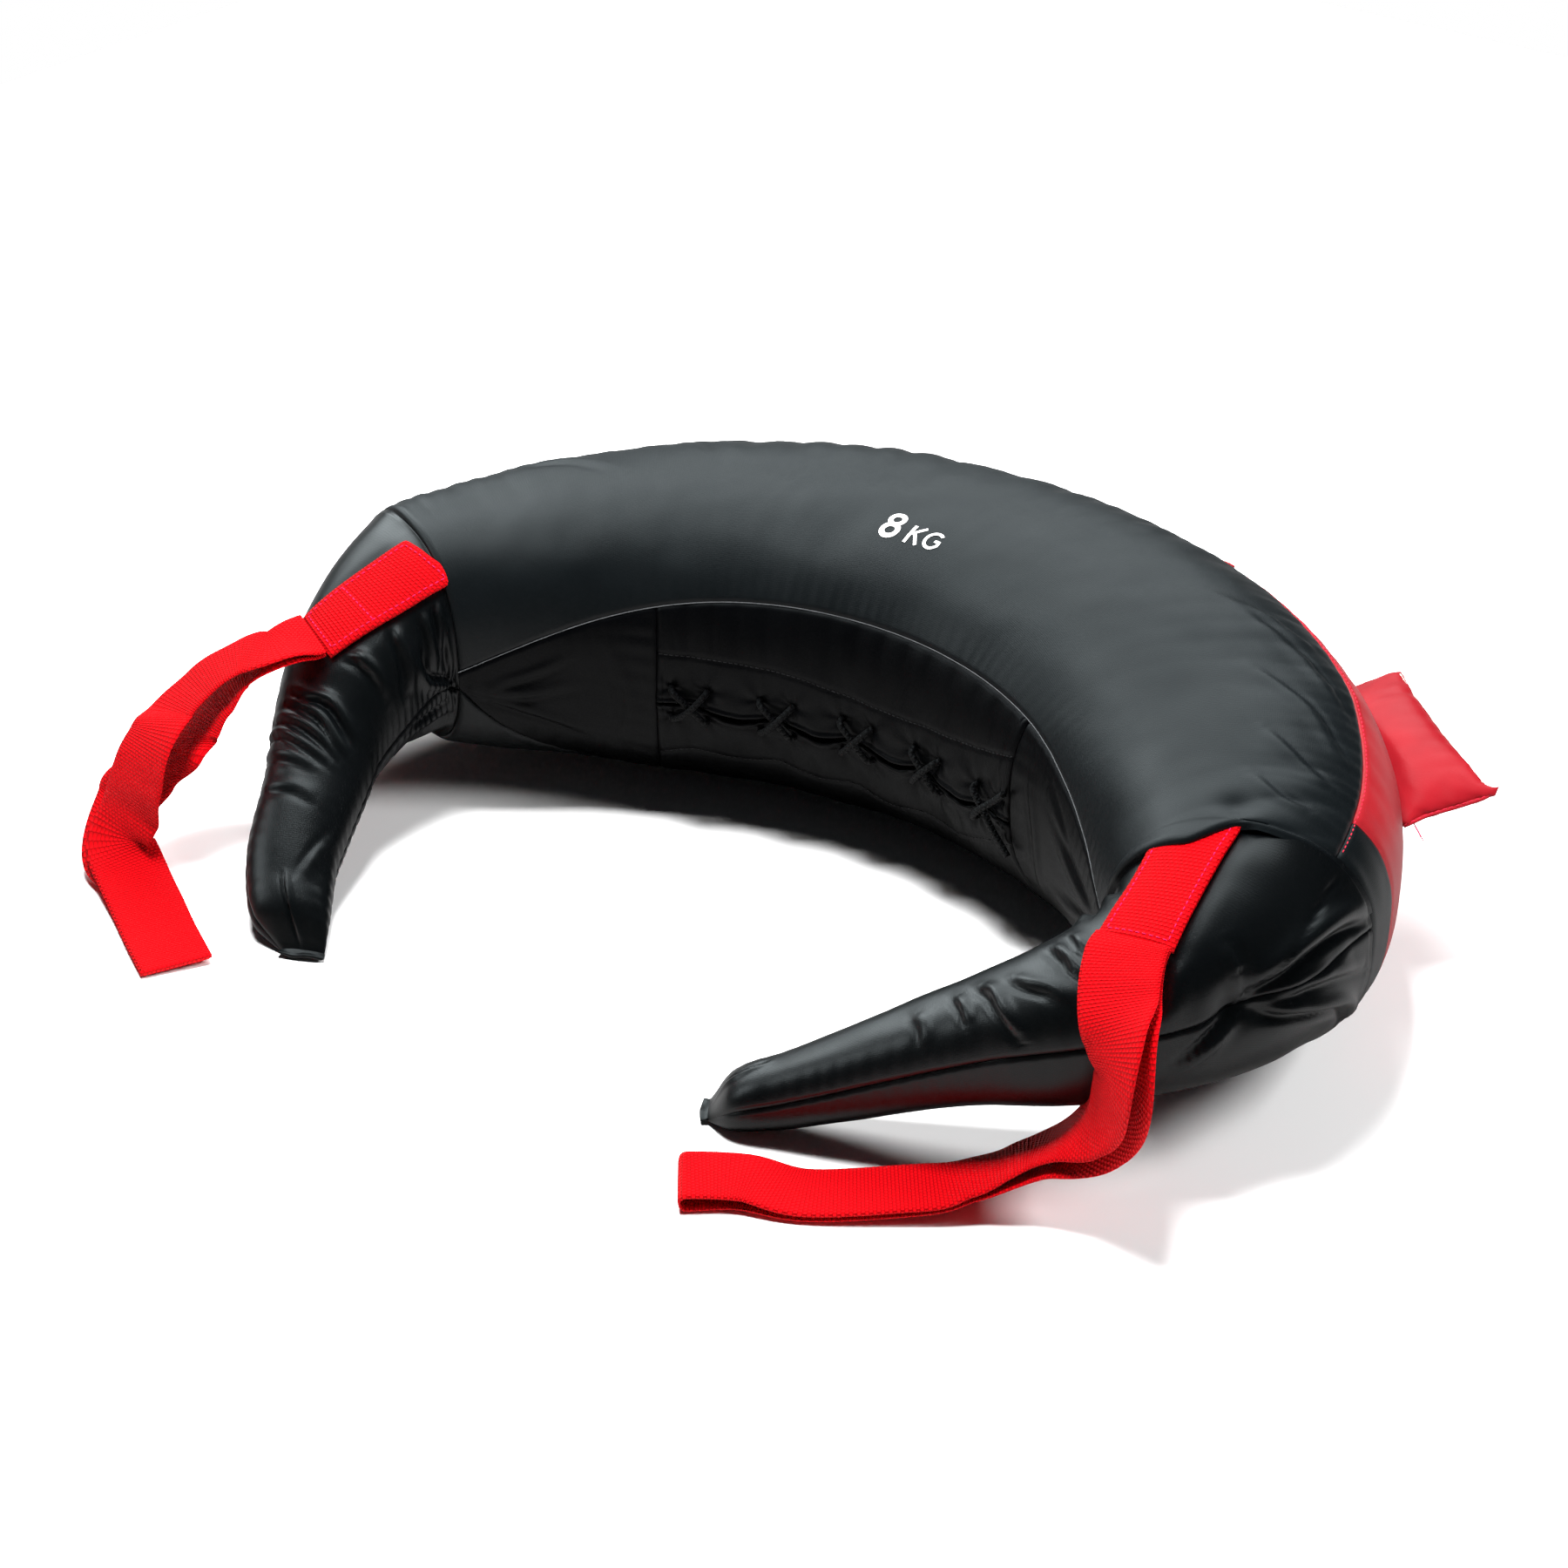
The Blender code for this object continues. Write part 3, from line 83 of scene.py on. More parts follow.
# Sizes of the scene alone
SEAM_RADIUS = 260 * MM
ROW_RADIUS = 330 * MM
HOOD_ROWS = 9
HOOD_LIFT = 3.3 * MM
END_BAND = math.radians(5.4)
TOP_FOLD_GAIN = 1.4
HORN_FOLD_GAIN = 1.35
HORN_CREASE_GAIN = 1.3
HORN_BLEND = 55 * MM
ROUTE_STEPS = 120
TONGUE_DEPTH = 8.4 * MM
TONGUE_THICKNESS = 1.0 * MM
TONGUE_SPAN = (math.radians(166), math.radians(214))
PATCH_ROWS = 34
PATCH_HALF_COLUMNS = 10
FIN_LENGTH = 144 * MM
FIN_EAR = 3 * MM
FIN_NECK_SINK = 4.3 * MM
FIN_INWARD = math.radians(0.7)
MIDDLE_FIN_TILT = math.radians(25)
FIN_VOXEL = 4 * MM
FIN_SWELL_CAP = 4 * MM
FIN_PRESSURE = 4.0
FIN_ROUNDNESS = 0.82
CUSHION_SWELL = 0.86
FOAM_SWELL = 0.62
FILL_SHARE = 0.76
WADDING_HOLLOW = 0.53
WADDING_ENDS = ARC_HALF_ANGLE - 0.10
WADDING_GAP = 0.002
TONGUE_MARGIN = 0.06
MARK_PLACE = (math.radians(-3.8), math.radians(114.5))
MARK_MIDDLE = (20.5 * MM, 8.0 * MM)
MARK_RADII = (262 * MM, 94 * MM)
MARK_LEVELS = (0.32 * MM, 0.05 * MM)
FLOOR_HALF = 1.4
FLOOR_DROP = 0.6 * MM
FLOOR_WHITE = 0.94
FLOOR_IN_SHINE = 0.2184
LENS, SENSOR = 88.78, 36
CAMERA_AZIMUTH = math.radians(38.04)
CAMERA_LIFT = math.radians(29.28)
CAMERA_AWAY = 2.150
CAMERA_TARGET = Vector((-0.0334, -0.1449, 0.060))

# Pitch, length and radius of each kind of stitch, in mm
stitch_sizes = {
    "placket": (3.2, 2.5, 0.3),
    "back": (4.0, 2.6, 0.33),
    "strap": (3.6, 2.7, 0.42),
    "fin": (3.6, 2.6, 0.35),
}
# Facts of each horn and its webbing: lengths in metres, angles in degrees
horn_facts = {
    1: {"name": "right", "length": 0.216, "turn": 78, "curl": 4, "shift": 0.0, "opening": 0.009,
        "patch_turn": -11.5, "patch_theta": 109.35, "patch_share": 0.0717, "tucked_rows": 9,
        "gather": 0.8, "slant": 0.04},
    -1: {"name": "left", "length": 0.173, "turn": 41, "curl": 10, "shift": 0.008, "opening": 0.020,
         "patch_turn": 2.5, "patch_theta": 118.2, "patch_share": 0.0745, "tucked_rows": 8,
         "gather": 1.5, "slant": 0.13},
}
station_shares = (0.0, 0.12, 0.26, 0.40, 0.55, 0.70, 0.85, 0.95, 1.0)
depth_shares = {
    1: (1.0, 0.89, 0.69, 0.54, 0.445, 0.37, 0.31, 0.26, 0.15),
    -1: (1.0, 0.89, 0.69, 0.535, 0.455, 0.42, 0.39, 0.33, 0.20),
}
height_shares = {
    1: (1.0, 0.88, 0.68, 0.53, 0.43, 0.36, 0.295, 0.21, 0.033),
    -1: (1.0, 0.88, 0.67, 0.49, 0.38, 0.32, 0.26, 0.185, 0.033),
}
lift_shares = (1.0, 1.24, 1.34, 1.17, 0.86, 0.48, 0.12, 0.0, 0.0)

# Route of each loop's middle, its way across, how far its plies open and how far they slip sideways
loop_shares = {
    1: (
        ((0.0, 0.0, 0.0), None, 0.0, 0.0),
        ((0.018, -0.064, -0.011), (0.98, 0.16, 0.00), 0.15, 0.00),
        ((0.068, -0.159, -0.051), (0.98, 0.06, 0.00), 0.40, 0.00),
        ((0.133, -0.244, -0.121), (0.94, -0.32, 0.00), 0.70, 0.00),
        ((0.158, -0.269, -0.236), (0.84, -0.54, 0.05), 0.95, 0.04),
        ((0.097, -0.234, -0.356), (0.78, -0.60, 0.20), 0.95, 0.08),
        ((0.010, -0.214, -0.452), (0.72, -0.66, 0.28), 0.75, 0.10),
        ((-0.075, -0.239, -0.522), (0.66, -0.72, 0.30), 0.45, 0.08),
        ((-0.140, -0.290, -0.566), (0.62, -0.77, 0.22), 0.25, 0.04),
        ((-0.210, -0.353, -0.598), (0.62, -0.79, 0.12), 0.10, 0.00),
        ((-0.298, -0.434, -0.621), (0.62, -0.79, 0.00), 0.00, 0.00),
        ((-0.522, -0.604, -0.641), (0.62, -0.79, 0.00), 0.06, 0.00),
        ((-0.678, -0.669, -0.633), (0.62, -0.79, 0.00), 0.35, 0.00),
        ((-0.788, -0.754, -0.631), (0.62, -0.79, 0.00), 0.60, 0.00),
    ),
    -1: (
        ((0.0, 0.0, 0.0), None, 0.0, 0.0),
        ((-0.036, -0.119, -0.010), (0.80, -0.58, 0.05), 0.10, 0.00),
        ((-0.110, -0.177, -0.050), (0.74, -0.67, 0.00), 0.35, 0.06),
        ((-0.165, -0.262, -0.118), (0.84, -0.54, 0.02), 0.62, 0.16),
        ((-0.188, -0.352, -0.187), (0.93, -0.25, 0.15), 0.80, 0.18),
        ((-0.176, -0.432, -0.223), (0.97, -0.10, 0.12), 1.00, 0.05),
        ((-0.191, -0.487, -0.323), (0.98, 0.05, 0.08), 0.90, -0.25),
        ((-0.216, -0.522, -0.422), (0.96, 0.20, 0.05), 0.60, -0.35),
        ((-0.226, -0.577, -0.497), (0.90, 0.40, 0.00), 0.20, -0.12),
        ((-0.136, -0.627, -0.547), (0.79, 0.61, 0.00), 0.05, 0.00),
        ((-0.006, -0.697, -0.568), (0.62, 0.78, 0.08), 0.00, 0.00),
        ((0.139, -0.782, -0.573), (0.55, 0.83, 0.06), 0.00, 0.00),
        ((0.264, -0.852, -0.573), (0.52, 0.85, 0.06), 0.00, 0.00),
    ),
}

# One crossing of the lace: share of the way across, and height from behind the lips to over them
lace_under = (
    (-0.10, 0.00), (-0.02, 0.12), (0.0, 0.45), (0.02, 0.80), (0.09, 1.00), (0.30, 1.00),
    (0.50, 1.00), (0.70, 1.00), (0.91, 1.00), (0.98, 0.80), (1.0, 0.45), (1.02, 0.12), (1.10, 0.00),
)
lace_over = (
    (-0.10, 0.00), (-0.02, 0.12), (0.0, 0.45), (0.02, 0.80), (0.09, 1.10), (0.28, 1.70),
    (0.50, 2.00), (0.72, 1.70), (0.91, 1.10), (0.98, 0.80), (1.0, 0.45), (1.02, 0.12), (1.10, 0.00),
)


# Numbers and noise

def ease(value):
    """Smooth step from 0 to 1."""
    value = np.clip(value, 0.0, 1.0)
    return value * value * (3 - 2 * value)


def rise(value, start, stop):
    """Smooth step from 0 to 1 between two values."""
    return ease((value - start) / (stop - start))


def unit(vectors):
    """Vectors of length 1."""
    vectors = np.asarray(vectors, float)
    return vectors / np.maximum(np.linalg.norm(vectors, axis=-1, keepdims=True), 1e-12)


def noise(points, size, seed):
    """Smooth noise from -1 to 1 whose features are about that size."""
    spot = np.asarray(points, float) / size + seed * 17.3
    cell = np.floor(spot).astype(np.int64)
    part = spot - cell
    part = part * part * (3 - 2 * part)
    total = np.zeros(spot.shape[:-1])
    for corner in range(8):
        weight = np.ones(spot.shape[:-1])
        key = np.full(spot.shape[:-1], seed * 7919 + 101, dtype=np.int64)
        for axis, prime in enumerate((73856093, 19349663, 83492791)):
            bit = corner >> axis & 1
            weight = weight * (part[..., axis] if bit else 1 - part[..., axis])
            key = key ^ ((cell[..., axis] + bit) * prime)
        key = ((key ^ (key >> 13)) * 1274126177) & 0x7FFFFFFF
        key = (key ^ (key >> 15)) & 0xFFFF
        total += weight * (key / 32767.5 - 1)
    return total


def line_noise(place, size, seed):
    """Noise along a line."""
    place = np.asarray(place, float)
    return noise(np.stack([place, 0 * place + 0.37 * size, 0 * place], -1), size, seed)


def spline_through(stations, values, place):
    """Smooth curve through values at stations, the same as the part's."""
    stations, values = np.asarray(stations, float), np.asarray(values, float)
    place = np.asarray(place, float)
    last = len(stations) - 1
    index = np.clip(np.searchsorted(stations, place, side="left") - 1, 0, last - 1)
    before, after = np.maximum(index - 1, 0), np.minimum(index + 2, last)
    span = stations[index + 1] - stations[index]
    t = (place - stations[index]) / span
    first = (values[index + 1] - values[before]) / (stations[index + 1] - stations[before])
    second = (values[after] - values[index]) / (stations[after] - stations[index])
    h00, h10 = 2 * t ** 3 - 3 * t ** 2 + 1, t ** 3 - 2 * t ** 2 + t
    h01, h11 = 3 * t ** 2 - 2 * t ** 3, t ** 3 - t ** 2
    return h00 * values[index] + h01 * values[index + 1] + (h10 * first + h11 * second) * span


def reach_of(points):
    """Length along a polyline at each of its points."""
    return np.concatenate([[0], np.cumsum(np.linalg.norm(np.diff(points, axis=0), axis=1))])


def at_reach(values, reach, spots):
    """A polyline's values at lengths along it."""
    return np.stack([np.interp(spots, reach, values[:, k]) for k in range(3)], -1)


def smooth_path(points, step):
    """A smooth curve through a few points, resampled evenly."""
    points = np.asarray(points, float)
    if len(points) > 2:
        reach = reach_of(points)
        fine = np.linspace(0, 1, 12 * len(points))
        points = np.stack([spline_through(reach / reach[-1], points[:, k], fine) for k in range(3)], -1)
    reach = reach_of(points)
    count = max(int(round(reach[-1] / step)), 2)
    return at_reach(points, reach, np.linspace(0, reach[-1], count + 1))


# Shape of the crescent

def section_offset(depth, height, theta):
    """Offset outwards and upwards from the centre of a rounded section."""
    across, up = np.cos(theta), np.sin(theta)
    size = (np.abs(across) ** SECTION_POWER + np.abs(up) ** SECTION_POWER) ** (-1 / SECTION_POWER)
    return depth * size * across, height * size * up


def belly_section(share):
    """Half depth, half height and underside of the crescent at a share of its arc."""
    taper = share ** 2.5
    depth = BELLY_HALF_DEPTH + (END_HALF_DEPTH - BELLY_HALF_DEPTH) * taper
    height = BELLY_HALF_HEIGHT + (END_HALF_HEIGHT - BELLY_HALF_HEIGHT) * taper
    return depth, height, -REST_FLAT_DEPTH + (END_LIFT + REST_FLAT_DEPTH) * share ** 3


def on_arc(phi, radius, z):
    """Points at an arc angle, a radius and a height."""
    return np.stack(np.broadcast_arrays(radius * np.sin(phi), radius * np.cos(phi) - ARC_RADIUS, z), -1)


def belly_point(phi, theta, inset=0.0):
    """Points on the crescent's skin, or that far inside it."""
    depth, height, low = belly_section(np.abs(phi) / ARC_HALF_ANGLE)
    out, up = section_offset(depth - inset, height - inset, theta)
    return on_arc(phi, ARC_RADIUS + out, np.maximum(low + height + up, inset))


def belly_centre(points):
    """Nearest places on the crescent's centre arc."""
    phi = np.arctan2(points[..., 0], points[..., 1] + ARC_RADIUS)
    _, height, low = belly_section(np.abs(phi) / ARC_HALF_ANGLE)
    return on_arc(phi, ARC_RADIUS, low + height)


def belly_outward(points):
    """Directions out of the crescent at points on it."""
    return unit(points - belly_centre(points))


def belly_path(places, step=3 * MM):
    """A smooth path on the crescent through arc and section angles in degrees."""
    return smooth_path([belly_point(math.radians(a), math.radians(b)) for a, b in places], step)


def seam_angle(phi, middle, change, power):
    """Section angle of a seam: its degrees at the middle of the arc, and their change to the ends."""
    return np.radians(middle) + np.radians(change) * np.abs(phi / ARC_HALF_ANGLE) ** power


def back_seam(phi):
    """Seam between the red back and the black panels."""
    return seam_angle(phi, 43, 6, 2)


def inner_seam(phi):
    """Seam above the lacing."""
    return seam_angle(phi, 147.5, 33, 3.8)


def under_seam(phi):
    """Seam below the lacing."""
    return seam_angle(phi, 238, -48, 6)


def lace_line(phi):
    """Line where the two lips meet."""
    return seam_angle(phi, 188, -2.75, 6)


def crossings():
    """Arc angles of the lace's crossings."""
    edge = 18 * MM / INNER_RADIUS
    return np.linspace(LACING[0] + edge, LACING[1] - edge, LACE_CROSSINGS)


def lace_hole(number, across, up):
    """Arc angle and section angle of a lace hole."""
    phi = crossings()[number] + across * LACE_CROSS / INNER_RADIUS
    return phi, float(lace_line(phi)) - up * LACE_CROSS / BELLY_HALF_HEIGHT


# Grids, edges and folds

def spread(count, crowd):
    """Shares from 0 to 1 that crowd together at both ends."""
    t = np.linspace(0, 1, count)
    return t - crowd * np.sin(TAU * t) / TAU


def normals_of(grid, centre):
    """Directions out of a grid, away from the centre line given for its rows."""
    normal = unit(np.cross(np.gradient(grid, axis=0), np.gradient(grid, axis=1)))
    if np.sum(normal * (grid - centre)) < 0:
        normal = -normal
    return normal


def edge_distances(grid):
    """Distances in the surface from the first and last column, and the first and last row."""
    found = []
    for axis in (1, 0):
        steps = np.cumsum(np.linalg.norm(np.diff(grid, axis=axis), axis=2), axis)
        reach = np.insert(steps, 0, 0.0, axis)
        found += [reach, reach.take([-1], axis) - reach]
    return found


def groove(distance, depth, width):
    """Rounded fall of the cloth into a seam."""
    return -depth * np.clip(1 - distance / width, 0, 1) ** 2


def gathers(distance, along, reach, size, period, seed):
    """Puckers that a seam draws in the cloth beside it."""
    shift = 0.35 * distance * line_noise(along, 6 * period, seed + 5)
    wander = 1.7 * line_noise(along, 3.1 * period, seed)
    strength = 0.6 + 0.5 * line_noise(along + 1, 4.3 * period, seed + 1)
    ridge = np.sqrt(np.sin(math.pi * (along + shift) / period + wander) ** 2 + 0.03) - 0.6
    return size * strength * ridge * (distance / reach) * np.exp(1 - distance / reach)


def near_path(points, path):
    """Distance from points to a path."""
    best = np.full(points.shape[:-1], 1e9)
    for a, b in zip(path[:-1], path[1:]):
        line = b - a
        t = np.clip((points - a) @ line / (line @ line), 0, 1)
        best = np.minimum(best, np.linalg.norm(points - (a + line * t[..., None]), axis=-1))
    return best


def crease(grid, path, width, depth):
    """A narrow sunken line along a path."""
    return -depth * np.exp(-(near_path(grid, path) / width) ** 2)


def fold(grid, path, width, height, valley=0.7):
    """A crease along a path: a round ridge with a narrow valley beside it, fading at its ends."""
    best = np.full(grid.shape[:2], 1e9)
    side, share = np.zeros(grid.shape[:2]), np.zeros(grid.shape[:2])
    up = normals_of(grid, grid.mean(axis=(0, 1)))
    starts = reach_of(path)
    for k, length in enumerate(np.diff(starts)):
        a, b = path[k], path[k + 1]
        line = (b - a) / length
        t = np.clip((grid - a) @ line / length, 0, 1)
        off = grid - (a + (b - a) * t[..., None])
        distance = np.linalg.norm(off, axis=2)
        near = distance < best
        best = np.where(near, distance, best)
        turn = np.sum(np.cross(np.broadcast_to(line, off.shape), off) * up, -1)
        side = np.where(near, np.sign(turn), side)
        share = np.where(near, (starts[k] + length * t) / starts[-1], share)
    x = best / width * side
    fade = np.sin(math.pi * np.clip(share * 0.96 + 0.02, 0, 1)) ** 0.6
    ridge = np.exp(-((x - 0.55) / 0.62) ** 2) - valley * np.exp(-((x + 0.38) / 0.34) ** 2)
    return height * fade * ridge


# Meshes

def mesh_object(name, points, faces, finish, uvs=None):
    """A smooth shaded mesh object with a material and, where given, a UV for each vertex."""
    mesh = bpy.data.meshes.new(name)
    mesh.from_pydata(np.asarray(points, float).reshape(-1, 3).tolist(), [], faces)
    if uvs is not None:
        layer = mesh.uv_layers.new(name="UVMap")
        index = np.empty(len(mesh.loops), dtype=np.int32)
        mesh.loops.foreach_get("vertex_index", index)
        layer.data.foreach_set("uv", np.asarray(uvs, float).reshape(-1, 2)[index].ravel())
    mesh.shade_smooth()
    mesh.materials.append(finish)
    mesh.update()
    item = bpy.data.objects.new(name, mesh)
    bpy.context.collection.objects.link(item)
    return item


def quads(rows, columns, first=0, wrap=False):
    """Faces of a grid of points, closed round its columns if asked."""
    i, j = np.meshgrid(np.arange(rows - 1), np.arange(columns if wrap else columns - 1), indexing="ij")
    a = first + i * columns + j
    b = first + i * columns + (j + 1) % columns
    return np.stack([a, b, b + columns, a + columns], -1).reshape(-1, 4).tolist()


def loft_faces(rows, columns, first=0):
    """Faces of rings of points, closed round their columns and capped at both ends."""
    last = first + (rows - 1) * columns
    caps = [list(range(first, first + columns))[::-1], list(range(last, last + columns))]
    return quads(rows, columns, first, True) + caps


def loft_object(name, rings, finish, uvs=None):
    """Rings of points as a closed object."""
    return mesh_object(name, rings, loft_faces(*rings.shape[:2]), finish, uvs)


def rimmed(grid, normal, axes, depth=4 * MM):
    """A grid whose first and last columns (axis 1) or rows (axis 0) are turned inwards."""
    spans = (0.35, 1.0)
    for axis in axes:
        first, last = normal.take([0], axis), normal.take([-1], axis)
        before = [grid.take([0], axis) - first * depth * s for s in spans[::-1]]
        after = [grid.take([-1], axis) - last * depth * s for s in spans]
        grid = np.concatenate(before + [grid] + after, axis)
        normal = np.concatenate([first] * 2 + [normal] + [last] * 2, axis)
    return grid


def sheet_object(name, grid, finish):
    """A grid as an object, with UVs in metres along and across it."""
    across, _, along, _ = edge_distances(grid)
    middle = along[:, along.shape[1] // 2][:, None] + 0 * along
    return mesh_object(name, grid, quads(*grid.shape[:2]), finish, np.stack([middle, across], -1))


def tube_object(name, path, radius, sides, finish):
    """A capped tube along a path."""
    along = unit(np.gradient(path, axis=0))
    up = np.cross(along[0], (0.3, 0.2, 0.9))
    ups = []
    for direction in along:
        up = unit(up - direction * (up @ direction))
        ups.append(up)
    side = unit(np.cross(along, ups))[:, None]
    turn = np.linspace(0, TAU, sides, endpoint=False)[None, :, None]
    rings = path[:, None] + (side * np.cos(turn) + np.array(ups)[:, None] * np.sin(turn)) * radius
    uvs = np.stack(np.broadcast_arrays(reach_of(path)[:, None], np.linspace(0, 1, sides)[None]), -1)
    return loft_object(name, rings, finish, uvs)


def stitches(name, kind, lines, finish, lift=0.0):
    """Stitches as one mesh, spaced along lines that each hold a path and its directions out."""
    pitch, length, radius = (size * MM for size in stitch_sizes[kind])
    profile = ((-0.5, 0.25), (-0.36, 0.85), (0.0, 1.0), (0.36, 0.85), (0.5, 0.25))
    sides = 6
    points, faces = [], []
    for path, ups in lines:
        reach = reach_of(path)
        count = max(int(reach[-1] / pitch), 1)
        spots = (np.arange(count) + 0.5) * reach[-1] / count
        alongs = unit(at_reach(path, reach, spots + pitch / 3) - at_reach(path, reach, spots - pitch / 3))
        ups = unit(at_reach(ups, reach, spots))
        ups = unit(ups - alongs * np.sum(ups * alongs, -1, keepdims=True))
        for place, along, up in zip(at_reach(path, reach, spots) + ups * lift, alongs, ups):
            side = unit(np.cross(along, up))
            first = len(points)
            for share, size in profile:
                sink = radius * 0.9 * (abs(share) * 2) ** 3
                for turn in np.linspace(0, TAU, sides, endpoint=False):
                    ring = side * math.cos(turn) + up * math.sin(turn)
                    points.append(place + along * length * share + ring * radius * size - up * sink)
            faces += loft_faces(len(profile), sides, first)
    return mesh_object(name, points, faces, finish)


def tree_of(item):
    """Search tree over an object's mesh."""
    mesh = item.data
    return BVHTree.FromPolygons([v.co for v in mesh.vertices], [p.vertices for p in mesh.polygons])


def on_tree(points, ways, tree, lift):
    """Points moved along their directions on to a mesh, with its directions out there."""
    found, ups = [], []
    for point, way in zip(points, ways):
        start = Vector(point) + Vector(way) * 0.02
        place, normal, _, _ = tree.ray_cast(start, -Vector(way), 0.06)
        if place is None:
            place, normal, _, _ = tree.find_nearest(Vector(point))
        if normal.dot(Vector(way)) < 0:
            normal = -normal
        found.append(place + normal * lift)
        ups.append(normal)
    return np.array([tuple(p) for p in found]), np.array([tuple(n) for n in ups])


def declare(item, body=None, node=None):
    """Attach a piece to the body it rides and hide the CAD node that it stands for."""
    if body:
        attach(item, body)
    if node:
        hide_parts(node)
    return item


# Finishes

def node(tree, kind, links=None, **values):
    """A shader node, with values for its properties or sockets and links into its sockets."""
    made = tree.nodes.new("ShaderNode" + kind)
    for key, value in values.items():
        if hasattr(made, key):
            setattr(made, key, value)
        else:
            made.inputs[key.replace("_", " ")].default_value = value
    for key, source in (links or {}).items():
        tree.links.new(source, made.inputs[key])
    return made


def maths(tree, operation, *values):
    """A maths node over sockets or numbers."""
    made = node(tree, "Math", operation=operation)
    for socket, value in zip(made.inputs, values):
        if isinstance(value, (int, float)):
            socket.default_value = value
        else:
            tree.links.new(value, socket)
    return made.outputs[0]


def wave(tree, value, period):
    """A sine of a socket with that period."""
    return maths(tree, "SINE", maths(tree, "MULTIPLY", value, TAU / period))


def metres(tree):
    """Metres along and across a surface, from its UVs."""
    parts = node(tree, "SeparateXYZ", {0: node(tree, "TexCoord").outputs["UV"]})
    return parts.outputs[0], parts.outputs[1]


def cloud(tree, size, detail, roughness):
    """Noise over an object, with features of about that size."""
    place = node(tree, "TexCoord").outputs["Object"]
    made = node(tree, "TexNoise", {"Vector": place}, Scale=1 / size, Detail=detail, Roughness=roughness)
    return made.outputs["Fac"]


def base_finish(name, colour, roughness, specular=0.5):
    """A material and its shader node."""
    made = bpy.data.materials.new(name)
    made.use_nodes = True
    made.diffuse_color = (*colour, 1)
    shader = made.node_tree.nodes["Principled BSDF"]
    shader.inputs["Base Color"].default_value = (*colour, 1)
    shader.inputs["Roughness"].default_value = roughness
    shader.inputs["Specular IOR Level"].default_value = specular
    return made, shader


def toned(tree, shader, value, colour, dark_share, stops):
    """Colour from a darker tone to the full one between two stops of a value."""
    ramp = node(tree, "ValToRGB", {"Fac": value})
    for element, stop, share in zip(ramp.color_ramp.elements, stops, (dark_share, 1.0)):
        element.position = stop
        element.color = (*[part * share for part in colour], 1)
    tree.links.new(ramp.outputs["Color"], shader.inputs["Base Color"])


def varied(tree, shader, colour, dark_share, size):
    """Soft variation between two tones; the noise behind it is returned."""
    value = cloud(tree, size, 3.0, 0.55)
    toned(tree, shader, value, colour, dark_share, (0.35, 0.68))
    return value


def bumped(tree, shader, height, strength, distance):
    """Relief of a finish."""
    bump = node(tree, "Bump", {"Height": height}, Strength=strength, Distance=distance)
    tree.links.new(bump.outputs["Normal"], shader.inputs["Normal"])


def vinyl(name, colour, roughness, grain, ribs=True, specular=0.5):
    """Coated fabric: a faint woven grain under a smooth coat, with soft wear."""
    made, shader = base_finish(name, colour, roughness, specular)
    tree = made.node_tree
    wear = varied(tree, shader, colour, 0.8, 50 * MM)
    height = cloud(tree, 1.1 * MM, 2.0, 0.6)
    if ribs:
        along, across = metres(tree)
        along = maths(tree, "MULTIPLY", wave(tree, along, 1.3 * MM), 0.6)
        weave = maths(tree, "ADD", wave(tree, across, 1.0 * MM), along)
        height = maths(tree, "ADD", maths(tree, "MULTIPLY", weave, 0.12), height)
    bumped(tree, shader, height, grain, 0.22 * MM)
    change = node(tree, "MapRange", {"Value": wear}, To_Min=roughness - 0.05, To_Max=roughness + 0.09)
    tree.links.new(change.outputs["Result"], shader.inputs["Roughness"])
    return made


def webbing(name, colour, strength):
    """Flat woven webbing: rows of rounded picks, each row offset from the last, with painted shade in the
    hollows between them.
    """
    made, shader = base_finish(name, colour, 0.85, 0.12)
    tree = made.node_tree
    along, across = metres(tree)
    row = maths(tree, "DIVIDE", along, 1.9 * MM)
    half = maths(tree, "MULTIPLY", maths(tree, "MODULO", maths(tree, "FLOOR", row), 2.0), 0.5)
    pick = maths(tree, "ADD", maths(tree, "DIVIDE", across, 2.5 * MM), half)
    first = maths(tree, "POWER", wave(tree, maths(tree, "FRACT", row), 2), 0.6)
    second = maths(tree, "MULTIPLY", wave(tree, maths(tree, "FRACT", pick), 2), 0.75)
    height = maths(tree, "MULTIPLY", first, maths(tree, "ADD", second, 0.25))
    bumped(tree, shader, height, strength, 0.9 * MM)
    # The hollows between the picks are coloured darker than their tops: painted shade in the weave
    toned(tree, shader, height, colour, 0.55, (0.0, 0.6))
    return made


def fibre(name, colour, roughness, size, strength):
    """A plain fibrous surface."""
    made, shader = base_finish(name, colour, roughness, 0.35)
    varied(made.node_tree, shader, colour, 0.7, size * 6)
    bumped(made.node_tree, shader, cloud(made.node_tree, size, 4.0, 0.7), strength, size)
    return made


def braid(name, colour):
    """Braided cord: crossing diagonal strands."""
    made, shader = base_finish(name, colour, 0.62, 0.4)
    tree = made.node_tree
    along, turn = metres(tree)
    along = maths(tree, "MULTIPLY", along, TAU / (3.2 * MM))
    turn = maths(tree, "MULTIPLY", turn, TAU * 2)
    one = maths(tree, "SINE", maths(tree, "ADD", along, turn))
    two = maths(tree, "SINE", maths(tree, "SUBTRACT", along, turn))
    bumped(tree, shader, maths(tree, "MAXIMUM", one, two), 0.7, 0.5 * MM)
    varied(tree, shader, colour, 0.5, 4 * MM)
    return made


